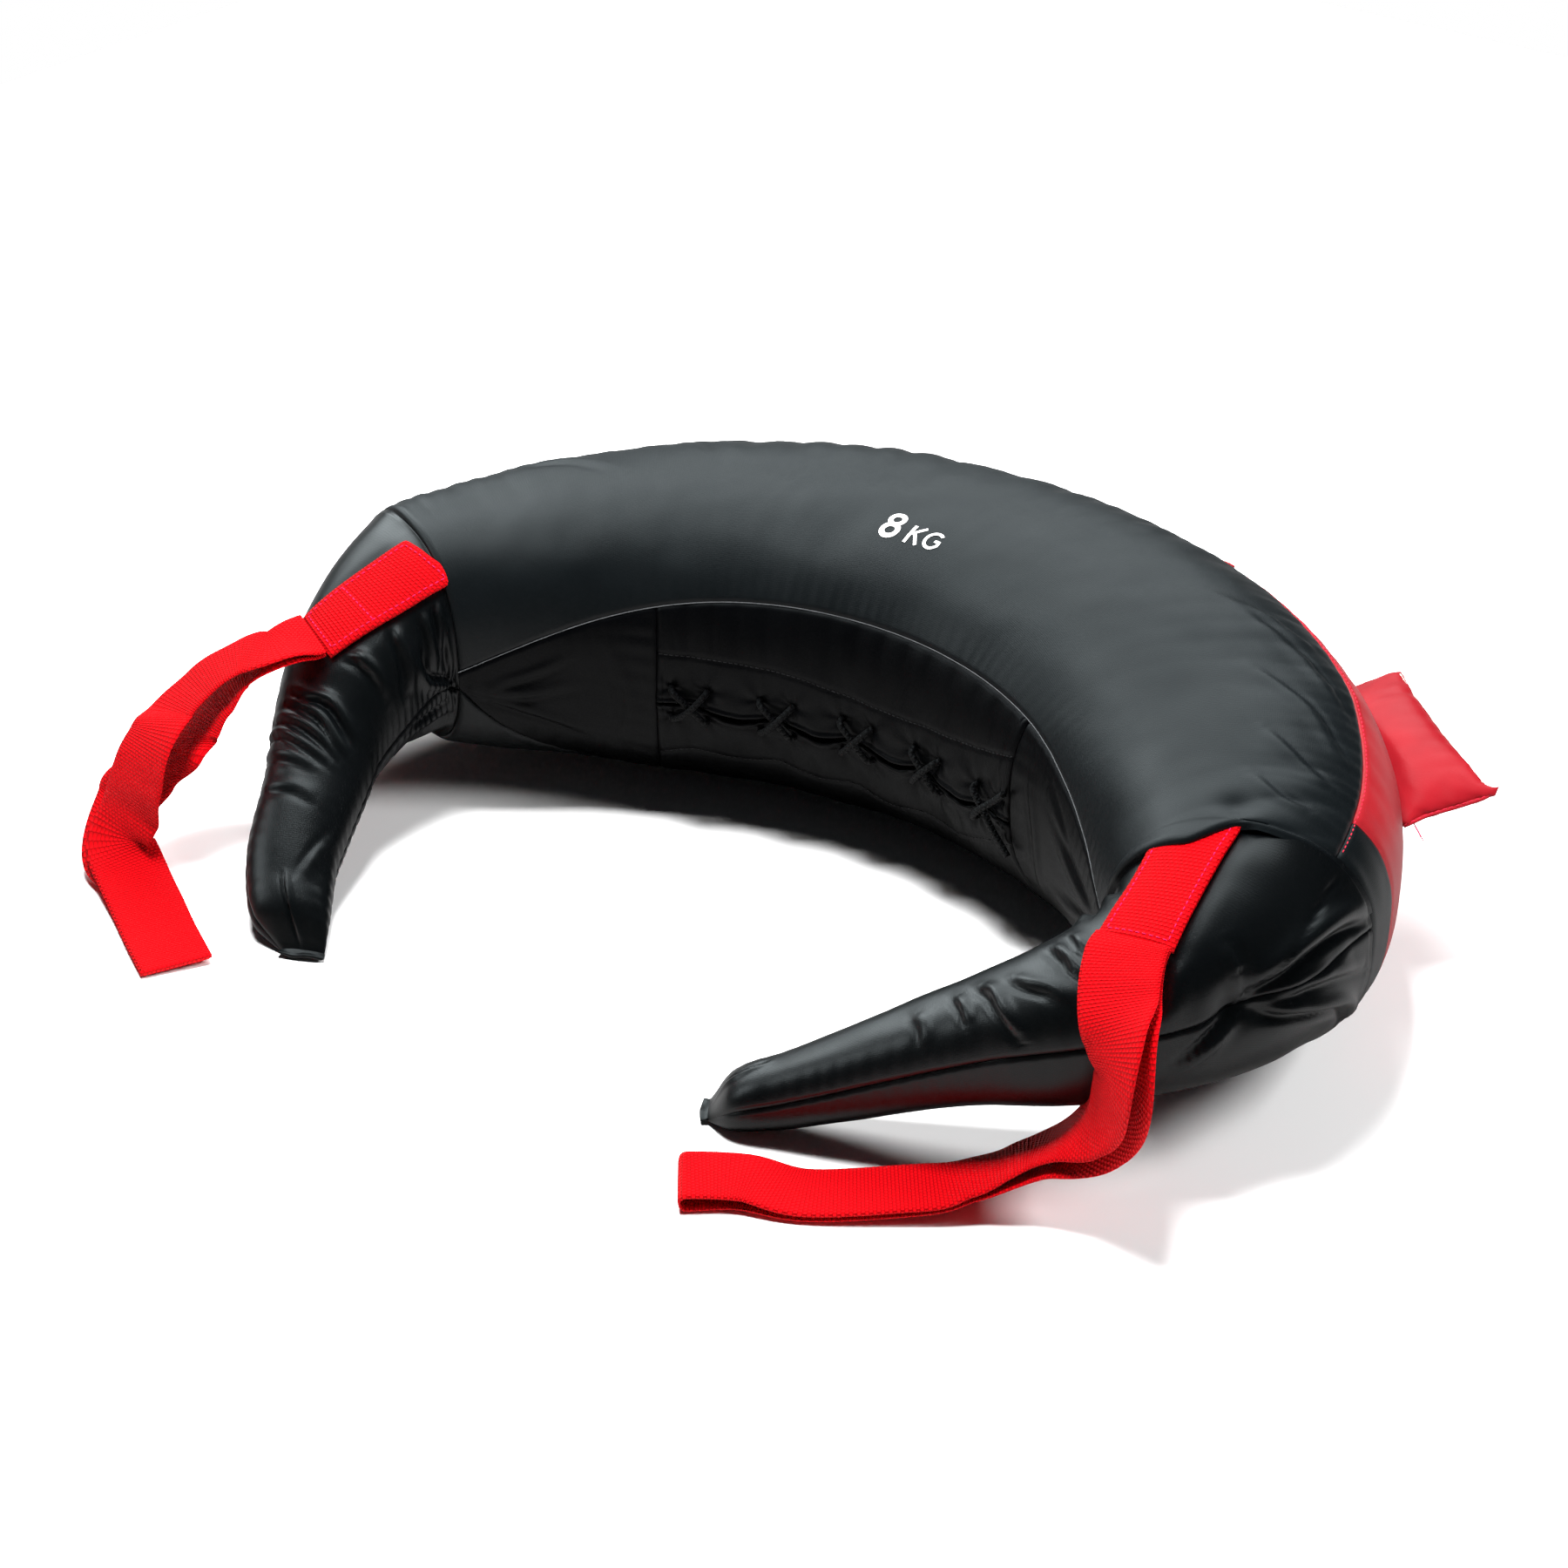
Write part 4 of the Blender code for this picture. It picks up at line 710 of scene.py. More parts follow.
def make_finishes():
    """Every finish used on the bag."""
    return {
        "black": vinyl("black_vinyl_cover", (0.0026, 0.0036, 0.0042), 0.43, 0.35, specular=0.30),
        # Vinyl of the plackets and gussets: a darker, less shiny copy of the cover's black vinyl, whose lower
        # colour and shine paint the shade on the inner side of the crescent
        "placket": vinyl("black_vinyl_placket", (0.0009, 0.0010, 0.0013), 0.38, 0.3, specular=0.14),
        "horn": vinyl("black_vinyl_horn", (0.0013, 0.0017, 0.0020), 0.33, 0.3, specular=0.42),
        "red": vinyl("red_vinyl_back", (0.23, 0.008, 0.012), 0.42, 0.3, specular=0.35),
        "fin": vinyl("red_vinyl_fin", (0.23, 0.0065, 0.011), 0.42, 0.3, ribs=False, specular=0.22),
        "webbing": webbing("red_webbing", (0.50, 0.0018, 0.0045), 0.9),
        "thread": fibre("magenta_thread", (0.64, 0.009, 0.085), 0.55, 0.6 * MM, 0.5),
        "red_thread": fibre("red_thread", (0.62, 0.02, 0.05), 0.55, 0.6 * MM, 0.5),
        # Light grey for the bead that paints the highlight along the seam above the lacing
        "grey": fibre("seam_edge_painted_highlight", (0.105, 0.11, 0.115), 0.5, 0.6 * MM, 0.5),
        "dark": fibre("black_seam_thread", (0.012, 0.012, 0.013), 0.5, 0.6 * MM, 0.5),
        "cord": braid("black_cord", (0.0012, 0.0012, 0.0014)),
        "lining": fibre("black_lining", (0.007, 0.007, 0.008), 0.85, 1.2 * MM, 0.4),
        "wool": fibre("wool_wadding", (0.52, 0.50, 0.46), 0.95, 3 * MM, 0.9),
        "sand": fibre("sand_bag_cloth", (0.30, 0.28, 0.22), 0.9, 1.5 * MM, 0.5),
        "foam": fibre("foam", (0.70, 0.68, 0.60), 0.95, 1 * MM, 0.5),
        "mark": base_finish("white_mark", (0.80, 0.80, 0.80), 0.5)[0],
    }


# Cover of the crescent

# Depth and width in mm of the groove at each edge: first and last column, first and last row
seam_grooves = {
    "top": ((0, 1.5, 4), (1, 1.3, 3.5), (2, 1.6, 5), (3, 1.6, 5)),
    "back": ((0, 1.5, 4), (1, 1.5, 4), (2, 1.6, 5), (3, 1.6, 5)),
    "bottom": ((0, 1.3, 3.5), (1, 1.5, 4), (2, 1.6, 5), (3, 1.6, 5)),
    "gusset": ((0, 1.3, 3.5), (1, 1.3, 3.5)),
    "placket_upper": ((0, 1.3, 3.5), (2, 1.2, 3), (3, 1.2, 3)),
    "placket_lower": ((1, 1.3, 3.5), (2, 1.2, 3), (3, 1.2, 3)),
}
# Gathers at an edge: metres that their phase is shifted, reach, size and period in mm, and seed
seam_gathers = {
    "top": ((0, 0, 22, 1.7, 19, 3), (0, 0, 10, 0.9, 8, 4), (1, 0, 6, 0.55, 9, 5)),
    "back": ((0, 0.3, 10, 1.1, 15, 13), (1, 0, 10, 1.1, 15, 3)),
    "bottom": ((0, 0, 8, 0.8, 14, 23), (1, 0.3, 10, 1.0, 15, 13)),
    "gusset": ((0, 0, 5, 0.5, 9, 5), (1, 0, 8, 1.0, 14, 23)),
    "placket_upper": ((0, 0, 12, 1.0, 21, 75),),
    "placket_lower": ((1, 0, 12, 1.0, 21, 76),),
}
# Folds: arc and section angles of their paths in degrees, width and height in mm
top_folds = (
    (((52, 56), (46, 66), (40, 78)), 7, 1.3), (((57, 60), (54, 72), (50, 82)), 6, 1.2),
    (((45, 52), (38, 60), (30, 70)), 7, 1.0), (((61, 66), (60, 78), (57, 88)), 6, 1.1),
    (((36, 52), (31, 62), (27, 74)), 8, 0.9), (((-52, 62), (-46, 74), (-42, 88)), 9, 0.8),
    (((-34, 58), (-31, 76), (-30, 96)), 10, 0.7), (((-24, 62), (-22, 82), (-23, 104)), 10, 0.6),
)
gusset_folds = {
    "left": (
        (((-62, 190), (-56, 192), (-49, 186)), 6, 1.6), (((-62, 193), (-55, 201), (-48, 208)), 6, 1.8),
        (((-60, 188), (-54, 180), (-50, 174)), 5, 1.2), (((-44, 172), (-42, 190), (-43, 212)), 7, 1.1),
    ),
    "right": (
        (((60, 186), (53, 182), (44, 172)), 7, 1.8), (((60, 190), (52, 196), (42, 200)), 7, 2.0),
        (((36, 168), (38, 190), (36, 214)), 7, 1.3), (((50, 176), (46, 168), (41, 160)), 6, 1.0),
    ),
}
# Stitched lines and creases of the plackets: arc and section angles in degrees
upper_stitch = ((-37, 168.5), (-30, 169), (-22, 169.5), (-14, 170.5), (-6, 172.5), (2, 173.5),
                (10, 172.5), (18, 170.5), (25, 167.5), (31, 163))
lower_stitch = ((-37, 213), (-31, 209), (-25, 210.5), (-18, 207.5), (-12, 210), (-5, 208),
                (1, 212), (8, 208.5), (15, 210), (22, 204.5), (31, 198))
placket_creases = (((-36, 150), (-36, 190), (-36, 232)), ((30, 150), (30, 180), (30, 226)))


def phi_rows(start, stop, step, crowd=0.6):
    """Arc angles from start to stop, closer together at the ends."""
    count = int(abs(stop - start) * ROW_RADIUS / step) + 2
    return start + (stop - start) * spread(count, crowd)


def panel_grid(phi, first, last, count, crowd=0.55):
    """Section angles and points of a panel between two seams, and metres along its rows."""
    theta = first + (last - first) * spread(count, crowd)[None]
    return theta, belly_point(phi, theta), phi * SEAM_RADIUS + 0 * theta


def seam_lift(name, s, edges):
    """Grooves and puckers along a panel's seams."""
    lift = 0 * edges[0]
    for edge, depth, width in seam_grooves[name]:
        lift += groove(edges[edge], depth * MM, width * MM)
    for edge, shift, reach, size, period, seed in seam_gathers[name]:
        lift += gathers(edges[edge], s + shift, reach * MM, size * MM, period * MM, seed)
    return lift


def body_noise(points):
    """Broad unevenness of the stuffing."""
    broad = 1.6 * MM * noise(points, 0.075, 31) + 0.85 * MM * noise(points, 0.034, 32)
    return broad + 0.22 * MM * noise(points, 0.015, 33)


def finish_panel(name, base, lift, finish):
    """Turn a lifted grid into a panel object that stands for a CAD node."""
    normal = normals_of(base, belly_centre(base))
    grid = base + normal * lift[..., None]
    grid[..., 2] = np.maximum(grid[..., 2], 0.0)
    item = sheet_object(name, rimmed(grid, normal, (1, 0)), finish)
    return declare(item, "belly", name.replace("_cover", ""))


def make_top(finishes):
    """Black panel over the top, whose right end hangs as a hood over the horn."""
    phi = phi_rows(-ARC_HALF_ANGLE, ARC_HALF_ANGLE, 2.3 * MM, 0.5)
    phi = np.concatenate([phi, [ARC_HALF_ANGLE] * HOOD_ROWS])[:, None]
    theta, base, s = panel_grid(phi, back_seam(phi), inner_seam(phi), 118)
    horn, angle = Horn(1), np.degrees(theta[-1])
    reach = (1.5 + 15.5 * rise(angle, 84, 110) * (1 - rise(angle, 148, 176))) * MM
    for k in range(HOOD_ROWS):
        share = (k + 1) / HOOD_ROWS
        at = reach * share * 1.35 / horn.length
        spot = horn.point(at, theta[-1])
        base[k - HOOD_ROWS] = spot + unit(spot - horn.centre(at)) * (HOOD_LIFT + 1.6 * MM * share)
    lift = seam_lift("top", s, edge_distances(base)) + body_noise(base)
    ripple = noise(np.stack([s, theta * 0.03, 0 * s], -1), 12 * MM, 41)
    lift += 0.22 * MM * ripple * ease((80 * MM - s) / (160 * MM))
    for path, width, height in top_folds:
        lift += fold(base, belly_path(path), width * MM, TOP_FOLD_GAIN * height * MM, valley=0.6)
    arc = np.degrees(phi)
    lift += 2.2 * MM * rise(arc, 54, 64) * np.exp(-((theta - np.radians(100)) / 0.5) ** 2)
    lift += 1.6 * MM * rise(-arc, 56, 64) * np.exp(-((theta - np.radians(105)) / 0.7) ** 2)
    dent = np.linalg.norm(base - belly_point(math.radians(62.5), math.radians(94)), axis=-1)
    lift -= 2.6 * MM * np.exp(-(dent / (9 * MM)) ** 2)
    return finish_panel("top_panel_cover", base, lift, finishes["black"])


def make_back(finishes):
    """Red panel over the convex back, with a black band at each end."""
    phi = phi_rows(-ARC_HALF_ANGLE, ARC_HALF_ANGLE, 3.0 * MM, 0.5)[:, None]
    theta, base, s = panel_grid(phi, -back_seam(phi), back_seam(phi), 78)
    lift = seam_lift("back", s, edge_distances(base)) + body_noise(base)
    off = np.abs(theta) * 0.1
    for arc in (-FIN_ARC, 0.0, FIN_ARC):
        inside = ease((0.5 * FIN_LENGTH - np.abs(phi - arc) * 0.42) / (12 * MM))
        lift -= 1.0 * MM * np.exp(-(off / (9 * MM)) ** 2) * inside
        lift += gathers(off + 1e-6, s * 1.6, 9 * MM, 0.8 * MM, 11 * MM, 51) * inside
    band = ARC_HALF_ANGLE - END_BAND
    lift += groove(np.abs(np.abs(phi) - band) * 0.4, 1.3 * MM, 3.5 * MM)
    item = finish_panel("back_panel_cover", base, lift, finishes["red"])
    item.data.materials.append(finishes["black"])
    rows = np.concatenate([phi[:1, 0]] * 2 + [phi[:, 0]] + [phi[-1:, 0]] * 2)
    black = (np.abs(rows[:-1] + rows[1:]) / 2 > band).astype(np.int32)
    item.data.polygons.foreach_set("material_index", np.repeat(black, base.shape[1] + 3))
    return item


def make_bottom(finishes):
    """Black panel under the bag."""
    phi = phi_rows(-ARC_HALF_ANGLE, ARC_HALF_ANGLE, 3.0 * MM, 0.5)[:, None]
    _, base, s = panel_grid(phi, under_seam(phi), TAU - back_seam(phi), 78)
    lift = seam_lift("bottom", s, edge_distances(base)) + body_noise(base)
    finish_panel("bottom_panel_cover", base, lift, finishes["black"])


def make_gusset(side, finishes):
    """Black inner panel between the lacing and a horn."""
    ends = (-ARC_HALF_ANGLE, LACING[0]) if side == "left" else (LACING[1], ARC_HALF_ANGLE)
    phi = phi_rows(*ends, 1.7 * MM)[:, None]
    theta, base, s = panel_grid(phi, inner_seam(phi), under_seam(phi), 70)
    edges = edge_distances(base)
    lift = seam_lift("gusset", s, edges) + body_noise(base)
    seam = edges[3] if side == "left" else edges[2]
    lift += groove(seam, 1.2 * MM, 3 * MM)
    lift += gathers(seam, theta * 0.09, 7 * MM, 0.7 * MM, 12 * MM, 61)
    for path, width, height in gusset_folds[side]:
        lift += fold(base, belly_path(path), width * MM, height * MM)
    # Its finish is the darker vinyl that paints the shade on the inner side
    finish_panel("gusset_cover_" + side, base, lift, finishes["placket"])


def hole_lift(base, upper):
    """Dimples round the lace holes, with puckers that spread from them."""
    lift = 0 * base[..., 0]
    for number, mark in enumerate(crossings()):
        for across in (-1, 1):
            off = base - belly_point(*lace_hole(number, across, 1 if upper else -1))
            r = np.linalg.norm(off, axis=-1)
            angle = np.arctan2(off[..., 2], off[..., 0] * math.cos(mark) - off[..., 1] * math.sin(mark))
            lift -= 1.7 * MM * np.exp(-(r / (4.5 * MM)) ** 2)
            rays = np.cos(5 * angle + number * 1.7 + across)
            lift += 0.55 * MM * rays * (r / (9 * MM)) * np.exp(1 - r / (9 * MM) - r / (20 * MM))
    return lift


def make_placket(which, finishes):
    """One lip of the laced opening, gathered where the lace draws it together."""
    upper = which == "upper"
    marks = crossings()
    phi = phi_rows(*LACING, 1.35 * MM, 0.4)[:, None]
    phase = math.pi * (phi - marks[0]) / (marks[1] - marks[0])
    swell = np.sin(phase) ** 2 * rise(phi, marks[0] - 0.02, marks[0] + 0.02)
    swell = swell * (1 - rise(phi, marks[-1] - 0.02, marks[-1] + 0.02))
    gap = 0.4 + 2.4 * swell if upper else 1.6 + 6.2 * swell
    edge = lace_line(phi) + (gap + 0.25 * line_noise(phi * 0.2, 0.02, 71)) * MM / BELLY_HALF_HEIGHT
    ends = (inner_seam(phi), edge) if upper else (edge, under_seam(phi))
    _, base, s = panel_grid(phi, *ends, 64, 0.5)
    edges = edge_distances(base)
    lip = edges[1] if upper else edges[0]
    lift = seam_lift("placket_" + which, s, edges) + body_noise(base) + hole_lift(base, upper)
    for path in placket_creases:
        lift += crease(base, belly_path(path), 0.7 * MM, 0.5 * MM)
    near_lip = np.exp(-lip / (0.42 * (edges[0] + edges[1]).mean()))
    pleat = np.sqrt(np.sin(phase) ** 2 + 0.02) - 0.45
    shift = 0.5 + 1.2 * line_noise(phi * 0.2, 0.03, 73)
    small = np.sqrt(np.sin(2 * phase + shift) ** 2 + 0.03) - 0.6
    lift += (3.2 * pleat + 1.2 * small) * MM * near_lip
    stitch = belly_path(upper_stitch if upper else lower_stitch, 2 * MM)
    lift += crease(base, stitch, 1.1 * MM, 0.75 * MM)
    lift += gathers(near_path(base, stitch) + 1e-6, s, 4 * MM, 0.3 * MM, 8 * MM, 77)
    lift += 0.5 * MM * np.exp(-((lip - 1.2 * MM) / (1.1 * MM)) ** 2)
    lift -= 0.35 * MM * np.exp(-((lip - 3.2 * MM) / (0.7 * MM)) ** 2)
    height, reach = (1.6 * MM, 9 * MM) if upper else (-0.8 * MM, 7 * MM)
    lift += height * swell * np.exp(-lip / reach) + groove(lip, 0.5 * MM, 1.0 * MM)
    # Its finish is the darker vinyl that paints the shade on the inner side
    item = finish_panel("placket_cover_" + which, base, lift, finishes["placket"])
    line = on_tree(stitch, belly_outward(stitch), tree_of(item), 0.15 * MM)
    thread = stitches("placket_stitches_" + which, "placket", [line], finishes["dark"])
    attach(thread, "belly")


def make_seam_highlight_and_stitches(back, finishes):
    """A thin light grey bead sunk in the seam above the lacing, which paints the highlight on that seam's
    edge, and red stitches along the back seam.
    """
    phi = np.linspace(-ARC_HALF_ANGLE, ARC_HALF_ANGLE, 520)
    seam = belly_point(phi, inner_seam(phi))
    out = belly_outward(seam)
    path = seam - out * (0.75 + 0.2 * line_noise(phi * 0.3, 0.012, 81))[:, None] * MM
    path = path + out * body_noise(path)[:, None]
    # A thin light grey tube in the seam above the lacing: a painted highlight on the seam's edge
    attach(tube_object("inner_seam_painted_highlight", path, 0.30 * MM, 6, finishes["grey"]), "belly")
    tree = tree_of(back)
    phi = 0.985 * np.linspace(-ARC_HALF_ANGLE, ARC_HALF_ANGLE, 420)
    for side, name in ((1, "upper"), (-1, "under")):
        seam = belly_point(phi, side * (back_seam(phi) - 0.020))
        line = on_tree(seam, belly_outward(seam), tree, 0.1 * MM)
        thread = stitches("back_seam_stitches_" + name, "back", [line], finishes["red_thread"])
        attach(thread, "belly")


def make_tongue(finishes):
    """Lining flap behind the lacing."""
    phi = np.linspace(LACING[0] + TONGUE_MARGIN, LACING[1] - TONGUE_MARGIN, 90)[:, None]
    theta = np.linspace(*TONGUE_SPAN, 36)[None]
    base = belly_point(phi, theta + 0 * phi, TONGUE_DEPTH)
    base = base + belly_outward(base) * (0.6 * MM * noise(base, 20 * MM, 91))[..., None]
    tongue = sheet_object("lacing_tongue_lining", base, finishes["lining"])
    thick = tongue.modifiers.new("thickness", "SOLIDIFY")
    thick.thickness = TONGUE_THICKNESS
    thick.offset = -1.0
    declare(tongue, "belly", "lacing_tongue")


def make_wadding(finishes):
    """Three thick rings of wadding that leave room for the sand bags."""
    step = (LACING[1] - LACING[0]) / 10
    left, right = LACING[0] + 2 * step, LACING[1] - 2 * step
    spans = (("left", -WADDING_ENDS, left - WADDING_GAP), ("middle", left + WADDING_GAP, right - WADDING_GAP),
             ("right", right + WADDING_GAP, WADDING_ENDS))
    turn = np.linspace(0, TAU, 40, endpoint=False)
    for side, start, stop in spans:
        rings = []
        for angle in np.linspace(start, stop, 14):
            deep = FILLING_DEPTH + 4.2 * MM * rise(np.cos(turn - np.radians(188)), 0.75, 0.95)
            rings.append(belly_point(angle, turn, deep))
        for angle in np.linspace(stop, start, 14):
            depth, height, low = belly_section(abs(angle) / ARC_HALF_ANGLE)
            out, up = section_offset(WADDING_HOLLOW * depth, WADDING_HOLLOW * height, turn)
            rings.append(on_arc(angle, ARC_RADIUS + out, low + height + up))
        rows, columns = len(rings), len(turn)
        faces = np.array(quads(rows + 1, columns, 0, True)) % (rows * columns)
        item = mesh_object("wadding_fill_" + side, rings, faces.tolist(), finishes["wool"])
        declare(item, "belly", "wadding_" + side)


# Horns

class Horn:
    """Route and sections of one horn, the same as the part's."""

    def __init__(self, side):
        self.side, self.facts = side, horn_facts[side]
        self.name, self.length = self.facts["name"], self.facts["length"]
        self.turn, self.curl = math.radians(self.facts["turn"]), math.radians(self.facts["curl"])
        self.root_depth = END_HALF_DEPTH - COVER_WALL - HORN_CLEARANCE
        self.root_height = END_HALF_HEIGHT - COVER_WALL - HORN_CLEARANCE
        shares = np.linspace(0, 1, ROUTE_STEPS + 1)
        pace = 0.22 + 0.78 * ease(shares / 0.3)
        steps = self.length / ROUTE_STEPS * (pace[1:] + pace[:-1]) / 2 / pace.mean()
        between = (shares[1:] + shares[:-1]) / 2
        headings = self.heading(between) + math.radians(9) * (1 - ease(between / 0.16))
        walk = np.stack([np.cos(headings), np.sin(headings), 0 * headings], -1) * steps[:, None]
        start = on_arc(ARC_HALF_ANGLE, ARC_RADIUS, 0.0) - self.outward(0.0) * self.root_depth
        self.route = start + np.concatenate([np.zeros((1, 3)), np.cumsum(walk, 0)])

    def heading(self, share):
        """Direction of the route, as an angle."""
        return -ARC_HALF_ANGLE - self.turn * ease(share / 0.42) - self.curl * share

    def outward(self, share):
        """Direction square to the route."""
        heading = self.heading(share)
        return np.stack([-np.sin(heading), np.cos(heading), 0 * heading], -1)

    def forward(self, share, turn=0.0, rising=0.0):
        """Direction towards the tip on the horn's own side, turned and rising by so much."""
        heading = float(self.heading(share)) + turn
        return np.array((math.cos(heading) * self.side, math.sin(heading), rising))

    def point(self, share, theta):
        """Points on the horn's skin."""
        share, theta = np.broadcast_arrays(np.asarray(share, float), np.asarray(theta, float))
        safe = np.clip(share, 0, 1)
        inner = at_reach(self.route, np.linspace(0, 1, len(self.route)), safe)
        deep = self.root_depth * spline_through(station_shares, depth_shares[self.side], safe)
        high = self.root_height * spline_through(station_shares, height_shares[self.side], safe)
        high = np.maximum(high, HORN_TIP_HALF)
        low = (END_LIFT + COVER_WALL + HORN_CLEARANCE) * spline_through(station_shares, lift_shares, safe)
        out, up = section_offset(deep, high, theta)
        shift = self.facts["shift"] * rise(safe, 0.26, 0.46) * (1 - rise(safe, 0.72, 1.0))
        spot = inner + self.outward(safe) * (deep + out + shift)[..., None]
        spot[..., 2] = np.maximum(np.maximum(low, 0.0) + high + up, 0.0)
        spot[..., 0] *= self.side
        return spot - np.maximum(-share, 0)[..., None] * self.forward(0.0) * HORN_TUCK

    def centre(self, share):
        """Middle of the section at a share."""
        return (self.point(share, 0.0) + self.point(share, math.pi)) / 2

    def path(self, places):
        """A smooth path on the skin through shares and section angles in degrees."""
        return smooth_path([self.point(a, math.radians(b)) for a, b in places], 2.5 * MM)


# Folds of each horn: places as share and section angle, width and height in mm, valley share
horn_folds = {
    -1: (
        (((0.085, 126), (0.105, 140), (0.12, 150), (0.135, 164)), 4.5, 2.4, 0.9),
        (((0.17, 132), (0.18, 150), (0.20, 170)), 5.5, 2.2, 0.8),
        (((0.24, 122), (0.26, 130), (0.27, 142), (0.30, 162)), 5.5, 2.5, 0.9),
        (((0.31, 78), (0.33, 94), (0.335, 110), (0.345, 128), (0.36, 144)), 5.5, 2.8, 0.9),
        (((0.40, 54), (0.42, 72), (0.43, 96), (0.46, 114), (0.49, 134)), 4.5, 2.4, 1.0),
        (((0.43, 52), (0.445, 70), (0.47, 92), (0.51, 110), (0.535, 128)), 4.0, 2.0, 1.0),
        (((0.45, 32), (0.465, 50), (0.49, 74), (0.52, 98), (0.55, 120)), 4.5, 2.1, 1.0),
        (((0.47, 14), (0.50, 48), (0.54, 80), (0.57, 110)), 4.5, 1.7, 0.9),
        (((0.52, 10), (0.55, 40), (0.57, 66), (0.59, 94)), 5.5, 1.1, 0.8),
        (((0.62, 26), (0.645, 60), (0.65, 80), (0.67, 106)), 6.0, 0.9, 0.8),
        (((0.05, 190), (0.13, 185), (0.21, 172), (0.225, 152)), 5.5, 2.3, 0.9),
        (((0.06, 150), (0.085, 168), (0.07, 188)), 4.5, 1.8, 0.9),
        (((0.05, 200), (0.16, 206), (0.28, 202)), 6.0, 1.6, 0.8),
        (((0.05, 212), (0.14, 222), (0.24, 226)), 7.0, 1.8, 0.8),
        (((0.87, 84), (0.93, 88), (0.992, 91)), 2.6, 1.5, 1.1),
        (((0.72, 140), (0.80, 120), (0.86, 104)), 6.0, 0.7, 0.7),
    ),
    1: (
        (((0.186, 18), (0.16, 24), (0.13, 27), (0.09, 26), (0.02, 20)), 9.0, 4.6, 0.8),
        (((0.188, 12), (0.17, 2), (0.14, -7), (0.08, -20), (0.005, -36)), 7.0, 3.6, 1.0),
        (((0.19, 19), (0.192, 30), (0.188, 50)), 5.0, 3.0, 0.9),
        (((0.195, 11), (0.22, 0), (0.245, -16)), 6.0, 2.2, 0.9),
        (((0.18, 10), (0.15, 9), (0.11, 4), (0.04, -6)), 7.0, 2.0, 0.6),
        (((0.45, 86), (0.43, 72), (0.41, 50), (0.38, 28)), 5.5, 2.0, 0.9),
        (((0.50, 86), (0.485, 66), (0.475, 48)), 4.5, 1.3, 0.9),
        (((0.39, 80), (0.37, 68), (0.345, 58), (0.33, 44)), 5.5, 1.8, 0.9),
        (((0.33, 104), (0.32, 84), (0.315, 70), (0.30, 54)), 5.5, 2.6, 0.9),
        (((0.30, 112), (0.30, 94), (0.29, 80), (0.28, 66)), 5.0, 2.3, 0.9),
        (((0.225, 60), (0.24, 46), (0.25, 32), (0.26, 20)), 9.0, 1.6, 0.6),
        (((0.26, 128), (0.235, 142), (0.20, 164)), 6.5, 2.3, 0.9),
        (((0.20, 132), (0.16, 150), (0.10, 176)), 6.5, 1.9, 0.9),
        (((0.58, 80), (0.565, 60), (0.56, 40)), 6.0, 0.8, 0.8),
        (((0.88, 100), (0.94, 92), (0.99, 88)), 3.0, 0.9, 1.0),
    ),
}
# Sunken lines of each horn: places as share and section angle, width and depth in mm
horn_creases = {
    -1: (
        (((0.03, 140), (0.035, 168), (0.03, 192)), 2.2, 1.6),
    ),
    1: (
        (((0.19, 17), (0.16, 29), (0.12, 38), (0.06, 42), (0.0, 43)), 1.0, 1.4),
        (((0.18, 13), (0.19, 15), (0.20, 14)), 12.0, 6.0),
    ),
}
# Rings of a horn's sewn tip: distance out in mm, share of its width and of its thickness
tip_rings = ((-1.5, 0.97, 0.9), (0.0, 1.0, 0.95), (1.2, 1.0, 0.55), (2.6, 1.02, 0.5),
             (4.0, 1.02, 0.48), (4.6, 1.0, 0.3))


def patch_walk(horn, tree):
    """Grid of points on the horn along and across the sewn webbing."""
    facts = horn.facts
    pace = PATCH_LENGTH / PATCH_ROWS
    rows, columns = PATCH_ROWS + facts["tucked_rows"], 2 * PATCH_HALF_COLUMNS

    def stepped(place, way, step):
        place, normal, _, _ = tree.find_nearest(place)
        along = (way - normal * way.dot(normal)).normalized()
        place, normal, _, _ = tree.find_nearest(place + along * step)
        return place, along, normal if normal.z > 0 else -normal

    place = Vector(horn.point(facts["patch_share"], math.radians(facts["patch_theta"])))
    along = Vector(horn.forward(0.0, math.radians(facts["patch_turn"]), -math.tan(PATCH_FALL)))
    place, along, up = stepped(place, along, 0.0)
    for _ in range(facts["tucked_rows"]):
        place, back, up = stepped(place, -along, pace)
        along = -back
    grid = []
    for _ in range(rows + 1):
        across = up.cross(along).normalized()
        row = [place]
        for sign in (1, -1):
            spot = place
            for _ in range(PATCH_HALF_COLUMNS):
                spot, _, _ = stepped(spot, across * sign, WEBBING_WIDTH / columns)
                row = row + [spot] if sign > 0 else [spot] + row
        grid.append([tuple(p) for p in row])
        place, along, up = stepped(place, along, pace)
    grid = np.array(grid)
    numbers = np.arange(rows + 1)
    for j in range(columns + 1):
        cut = facts["slant"] * (1 - j / columns)
        grid[:, j] = at_reach(grid[:, j], numbers, cut * rows + (1 - cut) * numbers)
    return grid


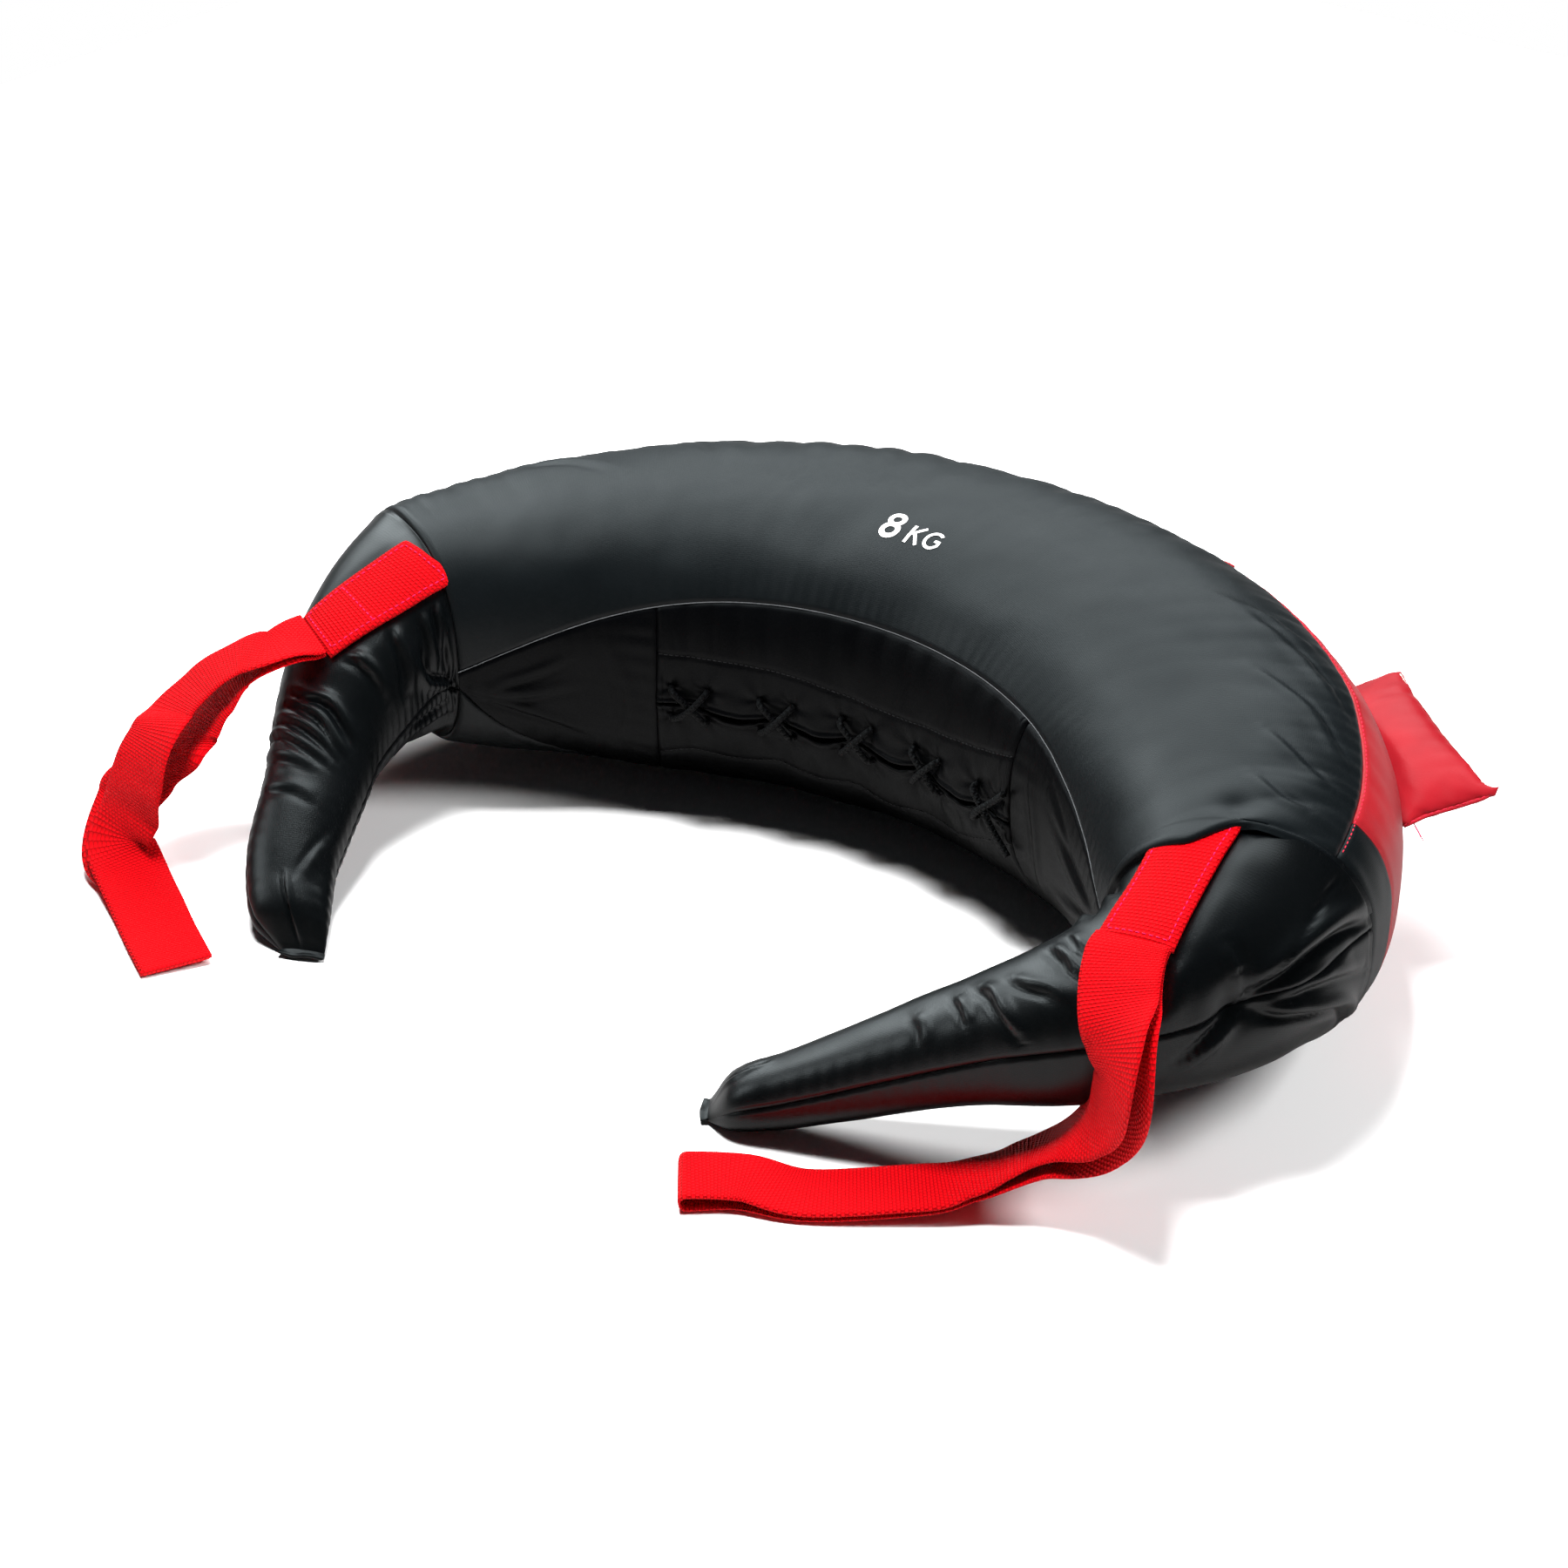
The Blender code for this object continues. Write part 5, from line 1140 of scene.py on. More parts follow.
def make_horn(horn, finishes):
    """Both sewn halves of a horn's cover, with their folds, its tip and its padding."""
    root = horn.centre(0.0)
    blend = tuple(root), tuple(root + horn.forward(0.0) * HORN_BLEND)
    plain = horn.point(np.linspace(-1, 1, 140)[:, None], np.linspace(0, TAU, 120)[None])
    tree = BVHTree.FromPolygons([Vector(p) for p in plain.reshape(-1, 3)], quads(*plain.shape[:2]))
    walk = patch_walk(horn, tree)
    patch_line = walk[::4, walk.shape[1] // 2]
    shares = np.concatenate([[-1.0, -0.4], spread(int(horn.length / (1.15 * MM)), 0.25)])[:, None]
    centre = horn.centre(shares[:, 0])
    for part, first in (("upper", HORN_SEAM), ("under", HORN_SEAM + math.pi)):
        theta = first + math.pi * spread(96, 0.55)[None]
        base = horn.point(shares, theta)
        d0, d1, _, _ = edge_distances(base)
        outer, inner = (d0, d1) if part == "upper" else (d1, d0)
        s = reach_of(centre)[:, None] + 0 * theta
        lift = gathers(outer, s, 5 * MM, 0.55 * MM, 10 * MM, 101 + horn.side)
        lift += gathers(inner, s, 6 * MM, horn.facts["gather"] * MM, 8 * MM, 105 + horn.side)
        lift += 1.0 * MM * noise(base, 45 * MM, 111) + 0.35 * MM * noise(base, 18 * MM, 112)
        lift *= np.clip((d0 + d1) / (90 * MM), 0.25, 1)
        lift += groove(d0, 1.3 * MM, 3.5 * MM) + groove(d1, 1.3 * MM, 3.5 * MM)
        for path, width, height, valley in horn_folds[horn.side]:
            lift += fold(base, horn.path(path), width * MM, HORN_FOLD_GAIN * height * MM, valley)
        for path, width, depth in horn_creases[horn.side]:
            lift += crease(base, horn.path(path), width * MM, HORN_CREASE_GAIN * depth * MM)
        flat = 1 - rise(near_path(base, patch_line), 22 * MM, 31 * MM)
        lift = lift * (1 - flat) - 0.2 * MM * flat
        lift *= rise(shares, -0.4, 0.1) * (1 - 0.6 * rise(shares, 0.93, 1.0))
        outside = ease(np.cos(theta) / 0.45) * (1 - rise(np.abs(shares), 0.01, 0.14))
        dip = np.exp(-(np.maximum(shares, 0) * horn.length / (2.5 * MM)) ** 2)
        lift += outside * (3.3 - dip) * MM
        normal = normals_of(base, centre[:, None])
        grid = base + normal * lift[..., None]
        grid[..., 2] = np.maximum(grid[..., 2], 0.0)
        grid = rimmed(grid, normal, (1,), 1.6 * MM)
        item = sheet_object("horn_cover_" + part + "_" + horn.name, grid, finishes["horn"])
        declare(item, None, "horn_" + part + "_" + horn.name)
        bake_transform(item)
    make_tip(horn, finishes)
    shares = np.linspace(0.03, 0.93, 30)
    centre = horn.centre(shares)[:, None]
    skin = horn.point(shares[:, None], np.linspace(0, TAU, 36, endpoint=False)[None])
    fill = loft_object("horn_fill_" + horn.name, centre + (skin - centre) * FILL_SHARE, finishes["wool"])
    declare(fill, "horn_" + horn.name, "horn_core_" + horn.name)
    return walk, blend


def make_tip(horn, finishes):
    """The flat sewn edge that closes a horn's tip."""
    centre, way = horn.centre(1.0), horn.forward(1.0)
    across = np.array((-way[1], way[0], 0.0))
    turn = np.linspace(0, TAU, 72, endpoint=False)
    off = horn.point(1.0, turn) - centre
    wide = off @ across
    rounding = 1 - 0.25 * (wide / np.abs(wide).max()) ** 2
    rings = []
    for out, size, thick in tip_rings:
        spot = centre + across * (wide * size)[:, None] + way * (out * MM * rounding)[:, None]
        ripple = 0.7 * MM * np.sin(wide / (2.6 * MM)) * max(out, 0) / 4.6
        spot[:, 2] = np.maximum(centre[2] + off[:, 2] * thick + ripple, 0.05 * MM)
        rings.append(spot)
    faces = loft_faces(len(rings), len(turn))
    faces.pop(-2)  # the ring inside the horn stays open
    item = mesh_object("horn_tip_edge_" + horn.name, rings, faces, finishes["horn"])
    declare(item, "horn_" + horn.name)


# Webbing

def selvedge(across):
    """0 over the webbing's width, rising to 1 at its edges."""
    return np.clip((np.abs(across) - 0.93) / 0.07, 0, 1) ** 2


def make_patch(horn, walk, finishes):
    """Doubled webbing sewn to the horn, and the stitches round its edge."""
    normal = normals_of(walk, walk - (0, 0, 1))
    rows, columns = walk.shape[:2]
    side = np.linspace(-1, 1, columns)[None]
    wave = PATCH_OFFSET + 0.35 * MM * noise(walk, 16 * MM, 121) * side ** 4
    start = 0.5 * MM * np.clip(1 - np.linspace(0, 1, rows)[:, None] / 0.02, 0, 1)
    high = 2 * WEBBING_PLY + wave - 0.55 * MM * selvedge(side) - start
    low = wave + 0.4 * MM * selvedge(side) + start
    top, under = walk + normal * high[..., None], walk + normal * low[..., None]
    along, across = np.linspace(0, PATCH_LENGTH, rows), np.linspace(0, WEBBING_WIDTH, columns)
    flat = np.stack(np.broadcast_arrays(along[:, None], across[None]), -1)
    band = loft_object("strap_patch_webbing_" + horn.name, np.concatenate([top, under[:, ::-1]], 1),
                       finishes["webbing"], np.concatenate([flat, flat[:, ::-1]], 1))
    declare(band, None, "strap_patch_" + horn.name)
    long, wide = slice(2, rows - 2), slice(2, columns - 2)
    lines = [(top[long, j], normal[long, j]) for j in (2, columns - 3)]
    sewn = (2, rows - 3, int(rows * 0.62)) if horn.side < 0 else (2, rows - 3)
    lines += [(top[i, wide], normal[i, wide]) for i in sewn]
    thread = stitches("strap_stitches_" + horn.name, "strap", lines, finishes["thread"], 0.12 * MM)
    declare(thread, None, "strap_stitching_" + horn.name)
    for piece in (band, thread):
        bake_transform(piece)
    return under, top, normal


def make_loop(horn, under, top, normal, finishes):
    """One band of webbing out to the fold and back, from its stitch line."""
    middle = top.shape[1] // 2
    along = unit(top[-1, middle] - top[-3, middle])
    away = normal[-1, middle]
    start = (under[-1, middle] + top[-1, middle]) / 2 + along * 0.6 * MM + away * 0.5 * MM
    across = unit(top[-1, -1] - top[-1, 0])
    if across[0] < 0:
        across = -across
    rows = loop_shares[horn.side]
    centres = start + np.array([row[0] for row in rows]) * STRAP_REACH
    forms = np.array([(*(row[1] or across), *row[2:]) for row in rows])
    last, fine = len(rows) - 1, 12
    steps = np.arange(fine * last + 1)
    k = np.minimum(steps // fine, last - 1)
    t = (steps / fine - k)[:, None]
    first = (centres[k + 1] - centres[np.maximum(k - 1, 0)]) / 2
    second = (centres[np.minimum(k + 2, last)] - centres[k]) / 2
    u = ease(t)
    place = (centres[k] * (1 - u) + centres[k + 1] * u + first * (t ** 3 - 2 * t ** 2 + t)
             + second * (t ** 3 - t ** 2))
    form = forms[k] * (1 - u) + forms[k + 1] * u
    side, aside = form[:, :3], WEBBING_WIDTH * form[:, 4]
    gap = PLY_GAP + horn.facts["opening"] * form[:, 3]
    forward = unit(np.gradient(place, axis=0))
    square = unit(side - forward * np.sum(side * forward, -1, keepdims=True))
    keep = (1 - ease(steps / 9))[:, None]
    side = unit(across * keep + square * (1 - keep))
    up = unit(np.cross(side, forward))
    if up[1] @ away < 0:
        up = -up
    reach = np.abs(side[:, 2]) * WEBBING_WIDTH / 2 + np.abs(up[:, 2]) * (gap / 2 + WEBBING_PLY)
    place[:, 2] = np.maximum(place[:, 2], FLOOR_GAP + reach)
    half = (gap + WEBBING_PLY) / 2
    wave = 0.7 * MM * line_noise(steps * 0.004, 0.03, 131 + horn.side) * ease(steps / 24)
    over = place + up * (half + wave)[:, None]
    back = place - up * half[:, None] + side * aside[:, None]
    turn = np.linspace(0, math.pi, 11)[1:-1, None]
    turned = up[-1] * np.cos(turn) + forward[-1] * np.sin(turn)
    centres = np.concatenate([over, place[-1] + turned * half[-1], back[::-1]])
    sides = np.concatenate([side, np.repeat(side[-1:], len(turn), 0), side[::-1]])
    ups = np.concatenate([up, turned, -up[::-1]])
    x = np.linspace(-1, 1, 15)
    thick = (1 - 0.55 * selvedge(x)) * WEBBING_PLY / 2
    x, thick = np.concatenate([x, x[::-1]]) * WEBBING_WIDTH / 2, np.concatenate([thick, -thick[::-1]])
    grid = centres[:, None] + sides[:, None] * x[:, None] + ups[:, None] * thick[:, None]
    uvs = np.stack(np.broadcast_arrays(reach_of(centres)[:, None], x[None] + 0.1), -1)
    item = loft_object("strap_webbing_" + horn.name, grid, finishes["webbing"], uvs)
    declare(item, "strap_" + horn.name, "strap_loop_" + horn.name)


# Fins

# Half of the section of a fin's sewn flange: distance out and half thickness in mm
flange = ((-1.2, 0.9), (0.0, 0.75), (1.3, 0.7), (2.0, 0.45), (2.2, 0.0))
# Ends of the loose threads in mm along the fin, outwards and up
loose_ends = ((6, 4, -9), (-2, 6, -12), (9, 1, -4))


class Fin:
    """Sewn edge and directions of one fin."""

    def __init__(self, name, phi):
        self.name, self.phi = name, phi
        self.tilt = MIDDLE_FIN_TILT if name == "middle" else FIN_TILT
        self.span = FIN_LENGTH / 2 / (ARC_RADIUS + belly_section(abs(phi) / ARC_HALF_ANGLE)[0])
        self.along = unit(belly_point(phi + self.span, 0.0) - belly_point(phi - self.span, 0.0))
        self.outward = unit((-self.along[1], self.along[0], 0.0))
        self.edge = belly_point(phi, 0.0) + self.outward * FIN_NECK_GAP
        self.deep = self.outward * math.cos(self.tilt) + np.array((0, 0, 1.0)) * math.sin(self.tilt)
        self.up = unit(np.cross(self.along, self.deep))
        if self.up[2] < 0:
            self.up = -self.up

    def reaches(self, u):
        """Place along the fin, and depth of its neck and of its edge, at a share of its half length."""
        place = belly_point(self.phi + self.span * u, 0.0) + self.outward * FIN_NECK_GAP - self.edge
        outer = FIN_DEPTH - FIN_EDGE_DRAW * (1 - u * u)
        return place @ self.along, place @ self.outward / math.cos(self.tilt), outer

    def spot(self, u, share):
        """Point in the fin's middle plane."""
        along, base, outer = self.reaches(u)
        return self.edge + self.along * along + self.deep * (base + (outer - base) * share)

    def row(self, u, shares, swell):
        """Points round the fin's section at a share along it."""
        along, base, outer = self.reaches(u)
        row = []
        for sign, order in ((1, shares), (-1, shares[::-1][1:-1])):
            for share in order:
                fat = math.sin(math.pi * share) ** 0.6 * (1 - abs(u) ** 2.5)
                rest = FIN_NECK_HALF * (1 - share) + FIN_END_HALF * share
                half = rest + (FIN_HALF * swell - rest) * fat
                ear = FIN_EAR * abs(u) ** 10 * share ** 5
                reach = base + (outer - base) * share + ear - FIN_NECK_SINK * (1 - share) ** 6
                row.append(self.edge + self.along * (along + math.copysign(ear, u)) + self.deep * reach
                           + self.up * (sign * half + ear * 0.35))
        return row

    def placed(self, spots):
        """Distances of points along the fin and outwards from its sewn edge."""
        return (spots - self.edge) @ self.along, (spots - self.edge) @ self.deep


def applied(item, name):
    """Apply an object's modifier."""
    bpy.context.view_layer.objects.active = item
    bpy.ops.object.select_all(action="DESELECT")
    item.select_set(True)
    bpy.ops.object.modifier_apply(modifier=name)


def simulated(item, hold):
    """Swell a fin's closed shape as cloth, no further than the cap, and smooth it once."""
    remesh = item.modifiers.new("voxels", "REMESH")
    remesh.mode = "VOXEL"
    remesh.voxel_size = FIN_VOXEL
    applied(item, "voxels")
    mesh = item.data
    start = np.array([v.co for v in mesh.vertices])
    cloth = item.modifiers.new("cloth", "CLOTH")
    cloth.settings.use_pressure = True
    cloth.settings.uniform_pressure_force = FIN_PRESSURE
    cloth.settings.effector_weights.gravity = 0
    cloth.settings.tension_stiffness = 20
    cloth.settings.compression_stiffness = 20
    cloth.settings.bending_stiffness = 0.4
    cloth.collision_settings.use_collision = False
    for frame_number in range(1, 21):
        bpy.context.scene.frame_set(frame_number)
    shaped = item.evaluated_get(bpy.context.evaluated_depsgraph_get()).to_mesh()
    move = np.array([v.co for v in shaped.vertices]) - start
    item.to_mesh_clear()
    item.modifiers.remove(cloth)
    bpy.context.scene.frame_set(1)
    size = np.linalg.norm(move, axis=1, keepdims=True)
    move = np.where(size > FIN_SWELL_CAP, move / np.maximum(size, 1e-9) * FIN_SWELL_CAP, move)
    move = smoothed(mesh, smoothed(mesh, move)) * hold(start)[:, None]
    mesh.vertices.foreach_set("co", (start + move).ravel())
    mesh.update()
    smooth = item.modifiers.new("smooth", "SUBSURF")
    smooth.levels = 1
    smooth.render_levels = 1
    applied(item, "smooth")
    item.data.shade_smooth()


def smoothed(mesh, values):
    """Values averaged with their neighbours' over a mesh."""
    ends = np.empty(len(mesh.edges) * 2, dtype=np.int64)
    mesh.edges.foreach_get("vertices", ends)
    ends = ends.reshape(-1, 2)
    total, count = np.zeros_like(values), np.zeros((len(values), 1))
    for a, b in ((0, 1), (1, 0)):
        np.add.at(total, ends[:, a], values[ends[:, b]])
        np.add.at(count, ends[:, a], 1)
    return values * 0.5 + 0.5 * total / np.maximum(count, 1)


def make_fin(name, phi, finishes):
    """One padded fin with its edge seam and foam."""
    fin = Fin(name, phi)
    shares = list(np.linspace(0, 1, 15))
    rows = np.array([fin.row(u, shares, CUSHION_SWELL) for u in np.linspace(-1, 1, 41)])
    item = loft_object("fin_cushion_" + name, rows, finishes["fin"])
    work = bmesh.new()
    work.from_mesh(item.data)
    bmesh.ops.recalc_face_normals(work, faces=work.faces)
    work.to_mesh(item.data)
    work.free()

    def hold(spots):
        along, deep = fin.placed(spots)
        return rise(deep + along ** 2 / FIN_ROUNDNESS, 2 * MM, 14 * MM)

    simulated(item, hold)
    mesh = item.data
    spots = np.array([v.co for v in mesh.vertices])
    normals = np.array([v.normal for v in mesh.vertices])
    along, deep = fin.placed(spots)
    end_off, edge_off = FIN_LENGTH / 2 - np.abs(along), FIN_DEPTH - deep
    line = np.where(end_off < edge_off, deep, along)
    off = np.maximum(np.minimum(end_off, edge_off), 0) + 1e-6
    lift = gathers(off, line + 0.4, 8 * MM, 0.5 * MM, 15 * MM, 141)
    lift += 0.6 * MM * noise(spots, 22 * MM, 142) + 0.3 * MM * noise(spots, 10 * MM, 143)
    mesh.vertices.foreach_set("co", (spots + normals * lift[:, None]).ravel())
    mesh.update()
    declare(item, "fin_" + name, "fin_cover_" + name)
    make_fin_seam(fin, item, finishes)
    shares = list(np.linspace(0.12, 0.9, 9))
    rows = np.array([fin.row(u, shares, FOAM_SWELL) for u in np.linspace(-0.9, 0.9, 21)])
    foam = loft_object("fin_pad_" + name, rows, finishes["foam"])
    declare(foam, "fin_" + name, "fin_foam_" + name)


def make_fin_seam(fin, cushion, finishes):
    """Narrow sewn flange round a fin's free edges, with its stitches, and loose threads on the right fin."""
    tree = tree_of(cushion)
    rides = "fin_" + fin.name
    route = [fin.spot(-1.0, s) for s in np.linspace(0.05, 1.0, 16)]
    route += [fin.spot(u, 1.0) for u in np.linspace(-0.95, 0.95, 40)]
    route += [fin.spot(1.0, s) for s in np.linspace(1.0, 0.05, 16)]
    outs = np.array(route) - (fin.edge + fin.deep * FIN_DEPTH * 0.5)
    outs = unit(outs - fin.up * (outs @ fin.up)[:, None])
    for k, out in enumerate(outs):
        hit, _, _, _ = tree.ray_cast(Vector(route[k] + out * 0.03), Vector(-out), 0.08)
        if hit is not None:
            route[k] = np.array(hit)
    route = np.array(route)
    for _ in range(2):
        route[1:-1] = route[1:-1] * 0.5 + (route[:-2] + route[2:]) * 0.25
    wave = 0.25 * MM * line_noise(np.arange(len(route)) * 0.003, 0.012, 151)
    rings = []
    for sign, profile in ((1, flange), (-1, flange[-2::-1])):
        for shift, thick in profile:
            height = sign * thick * MM + wave * (shift > 0)
            rings.append(route + outs * shift * MM + fin.up * height[:, None])
    item = loft_object("fin_edge_seam_" + fin.name, np.array(rings).transpose(1, 0, 2), finishes["fin"])
    declare(item, rides)
    path = route + outs * 0.9 * MM + fin.up * 0.85 * MM
    line = path, np.broadcast_to(fin.up, path.shape)
    thread = stitches("fin_stitches_" + fin.name, "fin", [line], finishes["red_thread"])
    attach(thread, rides)
    if fin.name != "right":
        return
    low = np.array(tree.find_nearest(Vector(fin.spot(0.985, 0.16) - fin.up * 4 * MM))[0])
    for number, (a, b, c) in enumerate(loose_ends):
        end = low + fin.along * a * MM + fin.deep * b * MM + np.array((0, 0, c * MM))
        bend = (low + end) / 2 + fin.along * 2 * MM * (-1) ** number
        loose = tube_object("fin_loose_thread_%d" % (number + 1), smooth_path([low, bend, end], 1.5 * MM),
                            0.28 * MM, 5, finishes["thread"])
        declare(loose, rides)


# Lace

def make_lace(finishes):
    """One lace that crosses over the opening and runs behind its lips between crossings."""
    low, high = -(COVER_WALL + 1.1 * MM + LACE_RADIUS), LACE_RADIUS + 0.9 * MM
    tail = 14 * MM / (LACE_CROSS * 2 * math.sqrt(2))
    strands = []
    for lead in (1, -1):
        route = []
        for number in range(LACE_CROSSINGS):
            up = lead * (-1) ** number
            start, stop = np.array(lace_hole(number, -1, up)), np.array(lace_hole(number, 1, -up))
            crossing = []
            for share, lift in (lace_over if up < 0 else lace_under):
                height = low + (high - low) * min(lift, 1)
                height += (2 * LACE_RADIUS + 0.1 * MM) * max(lift - 1, 0)
                crossing.append((*(start + (stop - start) * share), height))
            if number == LACE_CROSSINGS - 1:
                crossing = crossing[:4] + [place for place in crossing[4:] if place[2] >= high - 0.3 * MM]
                crossing += [(*(start + (stop - start) * share), high) for share in (1.0, 1.0 + tail)]
            route += crossing
        strands.append(route)
    points = [belly_point(a, b, -height) for a, b, height in strands[0][::-1] + strands[1]]
    item = tube_object("lace_cord", smooth_path(points, 0.9 * MM), LACE_RADIUS * 0.94, 14, finishes["cord"])
    declare(item, "belly", "lace")


# Mark

def stroke(points, width):
    """Left and right edges of a ribbon along a flat polyline."""
    points = np.array(points, float)
    before, after = points[:1], points[-1:]
    if np.allclose(before, after):
        before, after = points[-2:-1], points[1:2]
    way = unit(np.concatenate([points[1:], after]) - np.concatenate([before, points[:-1]]))
    side = np.stack([-way[:, 1], way[:, 0]], -1) * width / 2
    return points + side, points - side


def arc_line(cx, cy, rx, ry, start, stop, count):
    """Points of an elliptic arc between two angles in degrees."""
    angles = np.radians(np.linspace(start, stop, count))
    return [(cx + rx * math.cos(a), cy + ry * math.sin(a)) for a in angles]


def split_line(points, step=1.2):
    """A flat polyline with extra points along its straights."""
    out = [points[0]]
    for a, b in zip(points[:-1], points[1:]):
        count = max(int(math.dist(a, b) / step), 1)
        out += [(a[0] + (b[0] - a[0]) * k / count, a[1] + (b[1] - a[1]) * k / count)
                for k in range(1, count + 1)]
    return out


def make_mark(top, finishes):
    """A plain weight mark on the top panel; its strokes and their widths are in mm."""
    letters = (
        (arc_line(6.2, 5.4, 4.6, 4.1, 90, 450, 40), 3.0),
        (arc_line(6.2, 13.3, 3.9, 3.6, -90, 270, 40), 2.8),
        (split_line([(19.2, 0), (19.2, 12.2)]), 1.9),
        (split_line([(26.2, 12.2), (20.1, 6.2)]), 1.7),
        (split_line([(21.4, 7.4), (26.6, 0.2)]), 1.8),
        (arc_line(34.4, 6.2, 4.7, 5.2, 48, 330, 34) + split_line([(38.5, 3.6), (38.5, 6.1), (35.4, 6.1)]),
         1.75),
    )
    tree = tree_of(top)
    points, faces = [], []
    for line, width in letters:
        edges = stroke(line, width)
        first, n = len(points), len(line)
        for level in MARK_LEVELS:
            for x, y in np.concatenate(edges):
                phi = MARK_PLACE[0] + (x * MM - MARK_MIDDLE[0]) / MARK_RADII[0]
                base = belly_point(phi, MARK_PLACE[1] - (y * MM - MARK_MIDDLE[1]) / MARK_RADII[1])
                place, _ = on_tree([base], [belly_outward(base)], tree, level)
                points.append(place[0])
        for k in range(n - 1):
            a, b, c, d = first + k, first + n + k, first + 2 * n + k, first + 3 * n + k
            faces += [(a, a + 1, b + 1, b), (a, c, c + 1, a + 1), (b, b + 1, d + 1, d)]
        faces += [(first, first + n, first + 3 * n, first + 2 * n),
                  (first + n - 1, first + 3 * n - 1, first + 4 * n - 1, first + 2 * n - 1)]
    item = mesh_object("weight_mark", points, faces, finishes["mark"])
    item.data.shade_flat()
    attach(item, "belly")


# Sand bags

def make_sand_bags(nodes, finishes):
    """Cloth bags of sand, a little lumpy, in place of the plain ones."""
    for name, plain in list(nodes.items()):
        if not name.startswith("sand_bag"):
            continue
        places = np.array([plain.matrix_world @ v.co for v in plain.data.vertices])
        lift = (0.5 * noise(places, 30 * MM, 161) - 0.5) * MM
        places = places + belly_outward(places) * lift[:, None]
        faces = [tuple(p.vertices) for p in plain.data.polygons]
        bag = mesh_object("sand_cloth" + name[8:], places, faces, finishes["sand"])
        declare(bag, "belly", name)


# Light, floor and camera

SHINE_TINT = (0.87, 0.97, 1.0)
# Lights: name, place, aim, size, power, and whether it shows only in the cover's shine
lights = (
    ("key", (-0.25, -0.30, 2.4), (0, -0.12, 0.0), 0.7, 140, False),
    ("back", (-0.9, 0.9, 1.9), (0, -0.12, 0.0), 1.0, 60, False),
    ("side", (1.6, 0.5, 1.6), (0, -0.12, 0.0), 0.8, 50, False),
    ("box", (-1.15, 1.2, 1.75), (0.1, -0.1, 0.05), 2.5, 46, True),
    ("left", (-2.0, 0.4, 1.1), (-0.2, -0.2, 0.06), 1.0, 12, True),
    ("front", (-1.7, -1.1, 1.2), (-0.2, -0.2, 0.06), 0.8, 7, True),
    ("over", (-0.95, -0.25, 2.0), (-0.2, -0.2, 0.06), 0.8, 9, True),
)


def placed_object(name, data):
    """A new object in the scene."""
    item = bpy.data.objects.new(name, data)
    bpy.context.collection.objects.link(item)
    return item


def make_floor():
    """White floor that keeps the bag's shadow and is darker in the cover's shine."""
    mesh = bpy.data.meshes.new("floor")
    corners = [(x * FLOOR_HALF, y * FLOOR_HALF, -FLOOR_DROP) for x, y in ((-1, -1), (1, -1), (1, 1), (-1, 1))]
    mesh.from_pydata(corners, [], [(0, 1, 2, 3)])
    floor = placed_object("floor", mesh)
    white = bpy.data.materials.new("floor_white")
    white.use_nodes = True
    tree = white.node_tree
    tree.nodes.clear()
    shining = node(tree, "LightPath").outputs["Is Glossy Ray"]
    shade = node(tree, "Mix", {"Factor": shining}, data_type="RGBA", A=(*[FLOOR_WHITE] * 3, 1),
                 B=(*[FLOOR_IN_SHINE] * 3, 1))
    plain = node(tree, "BsdfDiffuse", {"Color": shade.outputs["Result"]})
    node(tree, "OutputMaterial", {"Surface": plain.outputs[0]})
    mesh.materials.append(white)


def make_world():
    """White to the camera, a faint sky to everything else."""
    world = bpy.data.worlds.new("studio")
    bpy.context.scene.world = world
    world.use_nodes = True
    tree = world.node_tree
    tree.nodes.clear()
    path = node(tree, "LightPath")
    seen = node(tree, "Background", Color=(1, 1, 1, 1), Strength=1.0)
    fill = node(tree, "Background", Color=(0.86, 0.93, 1.0, 1), Strength=0.02)
    ways = {0: path.outputs["Is Camera Ray"], 1: fill.outputs[0], 2: seen.outputs[0]}
    node(tree, "OutputWorld", {"Surface": node(tree, "MixShader", ways).outputs[0]})


